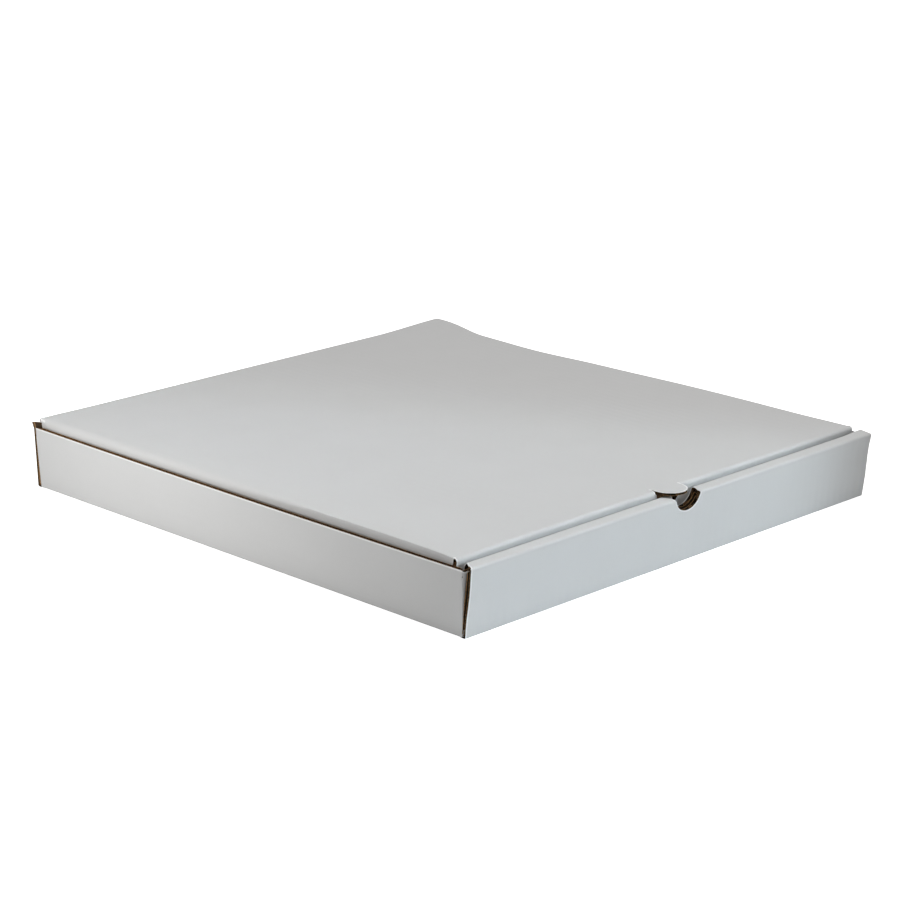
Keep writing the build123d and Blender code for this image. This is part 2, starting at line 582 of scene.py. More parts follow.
    def lock_slots(self) -> list[Loop]:
        """The two slots in the bottom that the front panel's lock tabs stand in."""
        box = self.box
        back = box.crown_width - box.half_depth + 2 * box.fit_gap
        front = back - self.card.board - 4 * box.fit_gap
        half = box.lock_tab_width / 2 + box.fit_gap
        middles = (-box.lock_tab_spacing / 2, box.lock_tab_spacing / 2)
        return [[(m - half, front), (m + half, front), (m + half, back), (m - half, back)] for m in middles]

    @property
    def hinge_middle(self) -> float:
        """The flat place of the middle of the hinge's bend."""
        return self.back[1].start[1] + self.back[1].length / 2

    @property
    def hinge_start(self) -> float:
        """The flat place where the back wall ends and the fold's lower half begins."""
        return self.back[1].start[1] - self.box.hinge_margin

    @property
    def hinge_end(self) -> float:
        """The flat place where the fold's upper half ends and the lid begins."""
        return self.back[1].start[1] + self.back[1].length + self.box.hinge_margin

    @property
    def ear_inside(self) -> float:
        """The inner side of the ears that stand up beside the lid's crease."""
        return self.box.lid_half_width + 3 * self.box.fit_gap

    def hinge_outline(self, start: float, end: float, inset: float = 0.0) -> Loop:
        """A strip of card beside the fold that the lid opens at, from one flat place to another."""
        half = self.box.lid_half_width - inset
        return [(-half, start), (half, start), (half, end), (-half, end)]

    def lid_outline(self) -> Loop:
        """The lid's cut edge, counter-clockwise.

        Returns:
            The corners of the outline. Its last side is the one that the hinge joins.
        """
        box, card = self.box, self.card
        fold = self.lid_side_fold(1)
        crease = fold.start[0]
        flap_top = crease + fold.length
        flap_end = flap_top + box.side_flap_depth - fold.tangent
        half = box.lid_half_width
        corner_end = half + card.lid_crisp_radius + card.board
        back, front = self.lid_v(box.side_flap_back), self.lid_v(box.side_flap_front)
        slit = (half - card.lid_crisp_radius, front + box.lid_slit / 2)
        tuck_end = self.tuck_v(box.tuck_flap_depth)
        right: Loop = [(half, self.hinge_end), (half, self.hinge_middle + card.board / 2)]
        right += [(corner_end, self.hinge_middle + card.board / 2), (corner_end + card.board, back)]
        right += [(flap_end, back + box.side_flap_taper), (flap_end, front - box.side_flap_taper)]
        right += [(flap_top, front), slit, (half, front + box.lid_slit)]
        right += [(half, self.tuck_v(box.tuck_upright)), (half - box.tuck_flap_taper, tuck_end)]
        return right + [(-u, v) for u, v in reversed(right)]

    def tongue_cut(self) -> Loop:
        """The half-round cut that frees the tongue from the tuck flap."""
        box = self.box
        centre = self.tongue_centre()
        root = self.back[2].start[1]
        gap = box.fit_gap
        outer = arc(centre, box.tongue_radius + gap, 0, 180)
        inner = arc(centre, box.tongue_radius, 180, 0)
        left, right = centre[0] - box.tongue_radius, centre[0] + box.tongue_radius
        wide, middle, narrow = (left - width for width in box.torn_widths)
        torn = [(wide, centre[1] + gap), (middle, root), (narrow, root - box.torn_depth), (left, root)]
        return [(right, root), (right + gap, root), *outer[:-1], *torn, *inner]


@dataclass(frozen=True)
class WarpSpans:
    """Where each small bend begins and where it is whole, in the folded box's x, y and z.

    Attributes:
        bow_inset: The walls' bulge, inwards from their outer faces.
        bow_over: How far above the side walls' top the bulge still counts.
        panel_depth: The front panel's shift, inwards from its foot.
        panel_left: The same shift, to the left.
        panel_up: The same shift, upwards.
        right_corner: The right front corner's spread, to the right and to the front.
        panel_spread_up: The height at which the panel's spread is whole.
        crown_spread_up: The height at which the crown's own spread begins.
        crown_lift_right: Where the crown's lift begins, to the right.
        crown_lift_back: The crown's lift, to the back.
        crown_lift_end: Where the front wall ends, for the lift.
        notch_left: The dip and the peak beside the notch, to the left.
        notch_up: The same two, upwards.
        notch_back: Where the dip gives way to the peak, to the back.
        notch_end: Where the front wall ends, for these two.
        dip_bell: The dip's middle in x and its width.
        peak_bell: The peak's middle in x and its width.
        flare_foot: How far in from its end the back wall's foot flares.
        flare_up: Where the foot's flare gives way to the wider one above it, upwards.
        flare_back: The flare, from this far in front of the back wall's foot to this.
        flare_ear: How far below the side walls' top the ear's own curl begins.
        crease_up: How far over the side walls and under the lid's top its creases start to stand out.
        left_crease: How far below the side walls' top they do so at the left.
        tuck_up: The same for the tuck flap, upwards.
        spread_side: The spread of the creases, from the middle outwards.
        spread_edge: How far inside the lid's edge that spread is whole.
        slip_back: The slip of the right back corner, to the back.
        left_fade_back: Where the left crease's spread fades, to the back.
        right_front_half: The spread of the right crease's front half, to the front.
        right_front_corner: Where it grows to the whole spread, to the front.
        back_side: The push of the back corners, from the middle outwards.
        back_back: The same push, to the back.
        edge_side: Where the sag and the rise of the right edge begin, to the right.
        lift_side: The lift of the right back corner, to the right.
        edge_dip_bell: The sag's middle in y and its width.
        edge_crown_bell: The rise's middle in y and its width.
        near_back_reach: How far round the left front corner its push is felt.
        near_droop_reach: How far round that corner its droop is felt.
        lift_up: How far below the side walls' top the flaps begin to follow the lid.
        tongue_out: The squash of the tongue, outwards from the lid's front edge.
        tongue_depth: How far below the lid's top the tongue's card reaches.
    """

    bow_inset: Span = (5.0, 3.0)
    bow_over: float = 0.5
    panel_depth: float = 2.0
    panel_left: Span = (150.0, 168.0)
    panel_up: Span = (6.0, 26.0)
    right_corner: Span = (140.0, 168.0)
    panel_spread_up: float = 12.0
    crown_spread_up: float = 28.0
    crown_lift_right: float = 152.0
    crown_lift_back: Span = (-178.0, -171.0)
    crown_lift_end: float = -165.0
    notch_left: Span = (-2.0, 3.0)
    notch_up: Span = (27.0, 36.0)
    notch_back: Span = (-179.0, -173.0)
    notch_end: float = -160.0
    dip_bell: Span = (-5.0, 9.0)
    peak_bell: Span = (-4.0, 4.0)
    flare_foot: float = 7.0
    flare_up: Span = (24.0, 35.0)
    flare_back: Span = (27.0, 6.0)
    flare_ear: float = 1.0
    crease_up: Span = (0.1, 0.2)
    left_crease: float = 4.0
    tuck_up: Span = (24.0, 34.0)
    spread_side: float = 110.0
    spread_edge: float = 1.0
    slip_back: Span = (126.0, 174.0)
    left_fade_back: Span = (158.0, 176.0)
    right_front_half: Span = (-20.0, 40.0)
    right_front_corner: Span = (130.0, 165.0)
    back_side: Span = (120.0, 160.0)
    back_back: Span = (160.0, 177.0)
    edge_side: float = 60.0
    lift_side: Span = (110.0, 160.0)
    edge_dip_bell: Span = (80.0, 36.0)
    edge_crown_bell: Span = (-72.0, 55.0)
    near_back_reach: float = 5.0
    near_droop_reach: float = 12.0
    lift_up: float = 9.0
    tongue_out: Span = (1.0, 5.0)
    tongue_depth: float = 3.0


@dataclass(frozen=True)
class Warp:
    """The small bends of a box that a hand has folded, as the photograph shows them.

    Attributes:
        box: The box's sizes.
        spans: Where each bend begins and where it is whole.
        left_bow: How far the left wall bulges halfway along.
        right_bow: How far the right wall does.
        back_flare: How far the back wall's left end stands out at its foot.
        back_flare_top: How much further it stands out at the height of the side wall.
        ear_flare: How much further again the ear above the side wall curls out.
        right_share: The share of those flares at the right end.
        panel_shift: How far the front panel's left end leans in above its foot.
        panel_foot: How far its foot stands out at that end.
        panel_spread: How far its right end leans out.
        crown_spread: How much further the crown's right end stands out.
        crown_lift: How far the crown's right end rises behind.
        crown_dip: How far the crown's front is pressed down at the left of the notch.
        crown_peak: How far the crown's back corner stands up there.
        tongue_squash: The share of its thickness that the tongue's rim has lost.
        lid_spread: How far the lid's side creases stand out over the walls.
        left_fade: The share of that spread that the left crease loses at its back end.
        right_spread: How far the right crease stands out along its front half.
        near_droop: How far the lid's left front corner hangs down.
        near_back: How far that corner is pushed to the back.
        edge_dip: How far the lid's right edge stands up behind its middle. Below zero it sags.
        edge_crown: How far that edge rises in front of its middle.
        corner_out: How far the lid's right back corner has slipped out over the wall.
        corner_back: How far it has slipped to the back, and the left one half as far.
        corner_lift: How far it stands up.
    """

    box: BoxSizes
    spans: WarpSpans = WarpSpans()
    left_bow: float = 1.6
    right_bow: float = 1.0
    back_flare: float = 2.0
    back_flare_top: float = 0.9
    ear_flare: float = 1.6
    right_share: float = 0.5
    panel_shift: float = 1.3
    panel_foot: float = 0.25
    panel_spread: float = 1.2
    crown_spread: float = 1.6
    crown_lift: float = 0.8
    crown_dip: float = 0.7
    crown_peak: float = 0.5
    tongue_squash: float = 0.45
    lid_spread: float = 2.0
    left_fade: float = 0.35
    right_spread: float = 1.2
    near_droop: float = 1.3
    near_back: float = 0.9
    edge_dip: float = -1.2
    edge_crown: float = 0.5
    corner_out: float = 8.2
    corner_back: float = 1.6
    corner_lift: float = 1.0

    def tray(self, points: np.ndarray) -> np.ndarray:
        """Bend folded points of the tray.

        Args:
            points: Rows of x, y and z.

        Returns:
            The moved points.
        """
        box, spans = self.box, self.spans
        moved = points.copy()
        x, y, z = points.T
        height_share = np.clip(z / box.side_height, 0, 1)
        bow = (1 - np.clip(y / box.half_depth, -1, 1) ** 2) * height_share
        at_side = ease(np.abs(x), *(box.half_width - inset for inset in spans.bow_inset))
        in_wall = z < box.side_height + spans.bow_over
        moved[:, 0] += np.where(x < 0, -self.left_bow, self.right_bow) * bow * at_side * in_wall
        moved[:, 1] += self._flare(x, y, z)
        at_left_end = ease(-y, box.half_depth - spans.panel_depth, box.half_depth)
        at_left_end = at_left_end * ease(-x, *spans.panel_left)
        moved[:, 0] += (self.panel_shift * ease(z, *spans.panel_up) - self.panel_foot) * at_left_end
        right_front = ease(x, spans.right_corner[0], box.half_width) * ease(-y, *spans.right_corner)
        panel_spread = self.panel_spread * np.clip(z / spans.panel_spread_up, 0, 1)
        crown_spread = self.crown_spread * ease(z, spans.crown_spread_up, box.crown_height)
        moved[:, 0] += (panel_spread + crown_spread) * right_front
        high = ease(z, box.side_height, box.crown_height)
        lift = self.crown_lift * ease(x, spans.crown_lift_right, box.half_width) * high
        moved[:, 2] += lift * ease(y, *spans.crown_lift_back) * (y < spans.crown_lift_end)
        beside_notch = ease(-x, *spans.notch_left) * (y < spans.notch_end) * ease(z, *spans.notch_up)
        behind = ease(y, *spans.notch_back)
        moved[:, 2] -= self.crown_dip * bell(x, *spans.dip_bell) * beside_notch * (1 - behind)
        moved[:, 2] += self.crown_peak * bell(x, *spans.peak_bell) * beside_notch * behind
        moved[:, 2] = np.maximum(moved[:, 2], 0)
        return moved

    def _flare(self, x: np.ndarray, y: np.ndarray, z: np.ndarray) -> np.ndarray:
        """How far the back wall's ends, and the side walls' ends with them, stand out to the back."""
        box, spans = self.box, self.spans
        share = np.where(x < 0, 1.0, self.right_share)
        amount = self.back_flare + self.back_flare_top * np.clip(z / box.side_height, 0, 1)
        amount += self.ear_flare * ease(z, box.side_height - spans.flare_ear, box.left_ear_height)
        from_end = np.maximum(box.half_width - np.abs(x), 0)
        low_fade = np.exp(-from_end / spans.flare_foot)
        high_fade = 1 - ease(from_end, 0, box.half_width - box.lid_half_width)
        high = ease(z, *spans.flare_up)
        at_back = ease(y, *(box.half_depth - depth for depth in spans.flare_back))
        return share * amount * (low_fade * (1 - high) + high_fade * high) * at_back

    def lid(self, points: np.ndarray) -> np.ndarray:
        """Bend folded points of the lid or of the fold between lid and tray.

        Args:
            points: Rows of x, y and z.

        Returns:
            The moved points.
        """
        box, spans = self.box, self.spans
        moved = points.copy()
        x, y, z = points.T
        over_wall = ease(z, box.side_height + spans.crease_up[0], box.lid_top - spans.crease_up[1])
        over_left_wall = ease(z, box.side_height - spans.left_crease, box.side_height)
        over_wall = np.where(x < 0, over_left_wall, over_wall)
        reach = np.where(y < box.side_flap_front, ease(z, *spans.tuck_up), over_wall)
        reach = reach * ease(np.abs(x), spans.spread_side, box.lid_half_width - spans.spread_edge)
        slipped = (x > 0) * ease(y, *spans.slip_back)
        left_spread = self.lid_spread * (1 - self.left_fade * ease(y, *spans.left_fade_back))
        right_spread = self.right_spread * ease(-y, *spans.right_front_half)
        further = self.lid_spread - self.right_spread
        right_spread = right_spread + further * ease(-y, *spans.right_front_corner)
        spread = np.where(x < 0, left_spread, right_spread)
        moved[:, 0] += np.sign(x) * reach * (spread + (self.corner_out - spread) * slipped)
        at_back = over_wall * ease(np.abs(x), *spans.back_side) * ease(y, *spans.back_back)
        moved[:, 1] += np.where(x < 0, self.corner_back / 2, self.corner_back) * at_back
        right_share = np.clip((x - spans.edge_side) / (box.lid_half_width - spans.edge_side), 0, 1) ** 2
        lift = self.corner_lift * ease(x, *spans.lift_side) * slipped
        dip = self.edge_dip * right_share * bell(y, *spans.edge_dip_bell)
        crown = self.edge_crown * right_share * bell(y, *spans.edge_crown_bell)
        from_near = np.hypot(x + box.lid_half_width, y - box.lid_front)
        moved[:, 1] += self.near_back * np.exp(-from_near / spans.near_back_reach)
        droop = -self.near_droop * np.exp(-from_near / spans.near_droop_reach)
        near_top = ease(z, box.side_height - spans.lift_up, box.side_height)
        moved[:, 2] += (lift + dip + crown + droop) * near_top
        on_tongue = ease(-y, *(out - box.lid_front for out in spans.tongue_out))
        on_tongue = on_tongue * (z > box.lid_top - spans.tongue_depth)
        moved[:, 2] += self.tongue_squash * on_tongue * np.maximum(box.lid_top - z, 0)
        return moved


def inside(points: np.ndarray, loop: np.ndarray) -> np.ndarray:
    """Which points lie inside a closed loop.

    Args:
        points: Rows of u and v.
        loop: The loop's corners.

    Returns:
        One truth value for each point.
    """
    result = np.zeros(len(points), bool)
    for (u0, v0), (u1, v1) in zip(loop, np.roll(loop, -1, axis=0)):
        if v0 == v1:
            continue
        crosses = (points[:, 1] < v0) != (points[:, 1] < v1)
        result ^= crosses & (points[:, 0] < u0 + (points[:, 1] - v0) * (u1 - u0) / (v1 - v0))
    return result


def distance_to(points: np.ndarray, starts: np.ndarray, ends: np.ndarray) -> np.ndarray:
    """How far each point lies from the nearest of some straight cuts.

    Args:
        points: Rows of u and v.
        starts: The cuts' first ends.
        ends: The cuts' last ends.

    Returns:
        One distance for each point.
    """
    nearest = np.full(len(points), np.inf)
    for start, end in zip(starts, ends):
        run = end - start
        share = np.clip(((points - start) @ run) / max(run @ run, 1e-12), 0, 1)
        nearest = np.minimum(nearest, np.hypot(*(points - start - share[:, None] * run).T))
    return nearest


class CardPiece:
    """A piece of the card: its outline, its cuts, and the triangles that fill it.

    Attributes:
        coarse: The distance between the grid's lines away from the bends.
        bend_steps: How many steps the grid has over a bend.
        beside_bend: How much card beside a bend has no other line of the grid.
        least_step: The shortest side that a loop is split into, and the grid's least distance from it.
        least_gap: The least distance between two of the grid's lines.
        inset_share: The share of an inset that a moved point keeps from every raw edge.
        least_turn: The least sine of the turn between two sides that a point is moved in from together.
        weld: How far apart two points may lie to be taken for one.
        straight: The least slant of a side, in millimetres, that the grid's lines are crossed with.
        hinge_boards: How far behind the fold's middle the grid stays fine, in thicknesses of the board.
        least_area: Twice the area, in square millimetres, of the smallest triangle that is kept.
    """

    coarse = 6.0
    bend_steps = 8
    beside_bend = 0.5
    least_step = 0.3
    least_gap = 0.15
    inset_share = 0.97
    least_turn = 0.2
    weld = 1e-5
    straight = 1e-6
    hinge_boards = 5
    least_area = 1e-7

    def __init__(self, name: str, blank: Blank, outline: Loop, holes: list[Loop], joined: list[int]) -> None:
        """Keep the outline, split where the grid's lines cross it.

        Args:
            name: The piece's name.
            blank: The card that it is part of.
            outline: Its edge, counter-clockwise.
            holes: Cuts inside it.
            joined: The numbers of the outline's sides where the card goes on, with no raw edge.
        """
        self.name = name
        self.blank = blank
        self.grid_u, self.grid_v = self._grid_lines(outline)
        self.loops = [self._split(outline, joined)]
        self.loops += [self._split(hole if self._area(hole) < 0 else hole[::-1], []) for hole in holes]

    @staticmethod
    def _area(loop: Loop) -> float:
        """Twice the signed area of a loop."""
        corners = np.array(loop)
        after = np.roll(corners, -1, axis=0)
        return float(np.sum(corners[:, 0] * after[:, 1] - corners[:, 1] * after[:, 0]))

    def _grid_lines(self, outline: Loop) -> tuple[np.ndarray, np.ndarray]:
        """The grid's lines: close together over a bend and far apart elsewhere."""
        low, high = np.min(outline, axis=0), np.max(outline, axis=0)
        blank = self.blank
        side_folds = [blank.wall_fold(1), blank.lid_side_fold(1)]
        across = [(side * fold.start[0], side * fold.length) for fold in side_folds for side in (-1, 1)]
        ends = [(fold.start[1], fold.way[1] * fold.length) for fold in (*blank.front, *blank.back)]
        flaps = [blank.corner_fold(1, end) for end in (-1, 1)]
        ends += [(fold.start[1], math.copysign(fold.length, fold.start[1])) for fold in flaps]
        ends.append((blank.hinge_middle, self.hinge_boards * blank.card.board))
        return self._lines(low[0], high[0], across), self._lines(low[1], high[1], ends)

    def _lines(self, low: float, high: float, bends: list[tuple[float, float]]) -> np.ndarray:
        """Places along one direction, evenly spaced but for the bends."""
        steps, beside = self.bend_steps, self.beside_bend
        places = list(np.linspace(low, high, max(2, round((high - low) / self.coarse)) + 1))
        ends = [sorted((start, start + length)) for start, length in bends]
        kept = [p for p in places if not any(a - beside < p < b + beside for a, b in ends)]
        for start, length in bends:
            kept += [start + length * step / steps for step in range(steps + 1)]
        chosen = np.unique(np.round([p for p in kept if low <= p <= high], 4))
        far_enough = np.append(True, np.diff(chosen) > self.least_gap)
        return chosen[far_enough]

    def _split(self, loop: Loop, joined: list[int]) -> tuple[np.ndarray, np.ndarray]:
        """Split a loop's sides at the grid's lines.

        Returns:
            The points, and for each the truth value that the side after it is a raw edge.
        """
        points: list[np.ndarray] = []
        raw: list[bool] = []
        corners = [np.array(corner, float) for corner in loop]
        for index, (start, end) in enumerate(zip(corners, corners[1:] + corners[:1])):
            run = end - start
            shares = [0.0]
            for axis, lines in ((0, self.grid_u), (1, self.grid_v)):
                if abs(run[axis]) > self.straight:
                    shares += [s for s in (lines - start[axis]) / run[axis] if 0 < s < 1]
            shares.sort()
            length = float(np.linalg.norm(run))
            kept = [0.0]
            for share in shares[1:]:
                if min(share - kept[-1], 1 - share) * length > self.least_step:
                    kept.append(share)
            points += [start + run * share for share in kept]
            raw += [index not in joined] * len(kept)
        return np.array(points), np.array(raw)

    def raw_cuts(self) -> tuple[np.ndarray, np.ndarray]:
        """The first and last ends of every raw edge."""
        starts = [points[raw] for points, raw in self.loops]
        ends = [np.roll(points, -1, axis=0)[raw] for points, raw in self.loops]
        return np.concatenate(starts), np.concatenate(ends)

    def inset(self, depth: float) -> list[np.ndarray]:
        """The loops moved inwards from the raw edges.

        Args:
            depth: How far.

        Returns:
            The moved loops.
        """
        starts, ends = self.raw_cuts()
        moved = []
        for points, raw in self.loops:
            shifted = points + self.inward(points, raw) * depth
            clear = distance_to(shifted, starts, ends) > depth * self.inset_share
            moved.append(shifted[clear & self._within(shifted)])
        return moved

    def _within(self, points: np.ndarray) -> np.ndarray:
        """Which points lie on the card, its joined ends among it."""
        result = np.ones(len(points), bool)
        for number, (loop, raw) in enumerate(self.loops):
            if raw.all():
                result &= inside(points, loop) == (number == 0)
        return result

    @staticmethod
    def inward(points: np.ndarray, raw: np.ndarray) -> np.ndarray:
        """The move that takes each point of a loop one millimetre in from the raw edges beside it.

        Args:
            points: The loop's points, in rows of u and v.
            raw: For each the truth value that the side after it is a raw edge.

        Returns:
            One move for each point. Where the two sides run almost straight on, it is square to them.
        """
        run = np.roll(points, -1, axis=0) - points
        normal = np.stack([-run[:, 1], run[:, 0]], axis=1) / np.linalg.norm(run, axis=1)[:, None]
        before, before_raw = np.roll(normal, 1, axis=0), np.roll(raw, 1)
        moves = np.zeros_like(points)
        for index in range(len(points)):
            rows = np.array([before[index], normal[index]])
            asked = np.array([float(before_raw[index]), float(raw[index])])
            if abs(np.linalg.det(rows)) > CardPiece.least_turn:
                moves[index] = np.linalg.solve(rows, asked)
            else:
                moves[index] = (rows * asked[:, None]).sum(axis=0) / 2
        return moves

    def triangulate(self, loops: list[np.ndarray]) -> tuple[np.ndarray, np.ndarray]:
        """Fill the loops with triangles that follow the grid.

        Args:
            loops: The outline first, then the holes.

        Returns:
            Flat points and the triangles' corners, counter-clockwise.
        """
        grid = np.array([(u, v) for u in self.grid_u for v in self.grid_v])
        starts = np.concatenate(loops)
        ends = np.concatenate([np.roll(loop, -1, axis=0) for loop in loops])
        keep = inside(grid, loops[0])
        for hole in loops[1:]:
            keep &= ~inside(grid, hole)
        grid = grid[keep]
        grid = grid[distance_to(grid, starts, ends) > self.least_step]
        flat = np.concatenate([starts, grid])
        edges, first = [], 0
        for loop in loops:
            edges += [(first + i, first + (i + 1) % len(loop)) for i in range(len(loop))]
            first += len(loop)
        result = delaunay_2d_cdt([Vector(p) for p in flat], edges, [], 0, self.weld)
        points = np.array([tuple(p) for p in result[0]])
        triangles = np.array([face for face in result[2] if len(face) == 3])
        middles = points[triangles].mean(axis=1)
        keep = inside(middles, loops[0])
        for hole in loops[1:]:
            keep &= ~inside(middles, hole)
        triangles = triangles[keep]
        a, b, c = (points[triangles[:, i]] for i in range(3))
        turn = (b - a)[:, 0] * (c - a)[:, 1] - (b - a)[:, 1] * (c - a)[:, 0]
        triangles[turn < 0] = triangles[turn < 0][:, ::-1]
        return points, triangles[np.abs(turn) > self.least_area]


@dataclass
class Sheet:
    """One closed sheet of the card, between two depths.

    Attributes:
        points: Its points, flat, in rows of u, v and w.
        faces: The corners of its faces, as numbers of those points.
        slots: The material slot of each face.
    """

    points: np.ndarray
    faces: list[tuple[int, ...]]
    slots: list[int]

    @classmethod
    def between(
        cls,
        flat: np.ndarray,
        triangles: np.ndarray,
        low: float,
        high: float,
        sides: tuple[CardSide, CardSide, CardSide],
    ) -> "Sheet":
        """Raise flat triangles to a closed sheet.

        Args:
            flat: Flat points.
            triangles: Counter-clockwise triangles of them.
            low: The depth of its face towards the white side.
            high: The depth of its face towards the kraft side.
            sides: What those two faces and the cut edge are made of.

        Returns:
            The sheet, still flat.
        """
        count = len(flat)
        lower = np.column_stack([flat, np.full(count, low)])
        upper = np.column_stack([flat, np.full(count, high)])
        ways = {(int(a), int(b)) for t in triangles for a, b in ((t[0], t[1]), (t[1], t[2]), (t[2], t[0]))}
        rim = [(a, b) for a, b in ways if (b, a) not in ways]
        faces = [(int(c), int(b), int(a)) for a, b, c in triangles]
        faces += [(int(a) + count, int(b) + count, int(c) + count) for a, b, c in triangles]
        faces += [(a, b, b + count, a + count) for a, b in sorted(rim)]
        low_slot, high_slot, rim_slot = (side.value for side in sides)
        slots = [low_slot] * len(triangles) + [high_slot] * len(triangles) + [rim_slot] * len(rim)
        return cls(np.concatenate([lower, upper]), faces, slots)


class NodeKit:
    """Short calls that wire a node tree."""

    def __init__(self, tree: bpy.types.NodeTree) -> None:
        """Keep the tree that nodes are added to."""
        self.tree = tree

    def add(self, kind: str, **settings: object) -> bpy.types.Node:
        """Add a node with some of its properties set."""
        node = self.tree.nodes.new(kind)
        for name, value in settings.items():
            setattr(node, name, value)
        return node

    def feed(self, value: object, socket: bpy.types.NodeSocket) -> None:
        """Set a socket to a value, or link another socket to it."""
        if isinstance(value, bpy.types.NodeSocket):
            self.tree.links.new(value, socket)
        else:
            socket.default_value = value

    def maths(self, operation: str, first: object, second: object = 0.0) -> bpy.types.NodeSocket:
        """Join two values by one sum."""
        node = self.add("ShaderNodeMath", operation=operation)
        self.feed(first, node.inputs[0])
        self.feed(second, node.inputs[1])
        return node.outputs[0]

    def noise(
        self, place: object, scale: float, detail: float = 3.0, roughness: float = 0.55
    ) -> bpy.types.NodeSocket:
        """A cloud of values from 0 to 1 around a half."""
        node = self.add("ShaderNodeTexNoise")
        self.feed(place, node.inputs["Vector"])
        node.inputs["Scale"].default_value = scale
        node.inputs["Detail"].default_value = detail
        node.inputs["Roughness"].default_value = roughness
        return node.outputs["Fac"]

    def scaled(self, place: object, scale: tuple[float, float, float]) -> bpy.types.NodeSocket:
        """A place stretched by its own share in each direction."""
        node = self.add("ShaderNodeMapping")
        self.feed(place, node.inputs["Vector"])
        node.inputs["Scale"].default_value = scale
        return node.outputs[0]

    def spread(
        self, value: object, low: float, high: float, to_low: float, to_high: float
    ) -> bpy.types.NodeSocket:
        """A value moved from one range to another and held inside it."""
        node = self.add("ShaderNodeMapRange")
        for socket, number in zip(node.inputs, (value, low, high, to_low, to_high)):
            self.feed(number, socket)
        return node.outputs[0]

    def mix(self, share: object, first: object, second: object) -> bpy.types.NodeSocket:
        """Mix two colours."""
        node = self.add("ShaderNodeMix", data_type="RGBA")
        self.feed(share, node.inputs[0])
        self.feed(first, node.inputs[6])
        self.feed(second, node.inputs[7])
        return node.outputs[2]

    def bump(self, height: object, distance: float) -> bpy.types.NodeSocket:
        """A surface direction roughened by a height of up to so many millimetres."""
        node = self.add("ShaderNodeBump")
        node.inputs["Distance"].default_value = distance * MM
        self.feed(height, node.inputs["Height"])
        return node.outputs[0]

    def finish(self, surface: bpy.types.Node, kind: str = "ShaderNodeOutputMaterial") -> None:
        """Send a shader to the tree's output."""
        self.feed(surface.outputs[0], self.add(kind).inputs["Surface"])


def new_material(name: str) -> tuple[bpy.types.Material, NodeKit]:
    made = bpy.data.materials.new(name)
    made.use_nodes = True
    made.node_tree.nodes.clear()
    return made, NodeKit(made.node_tree)


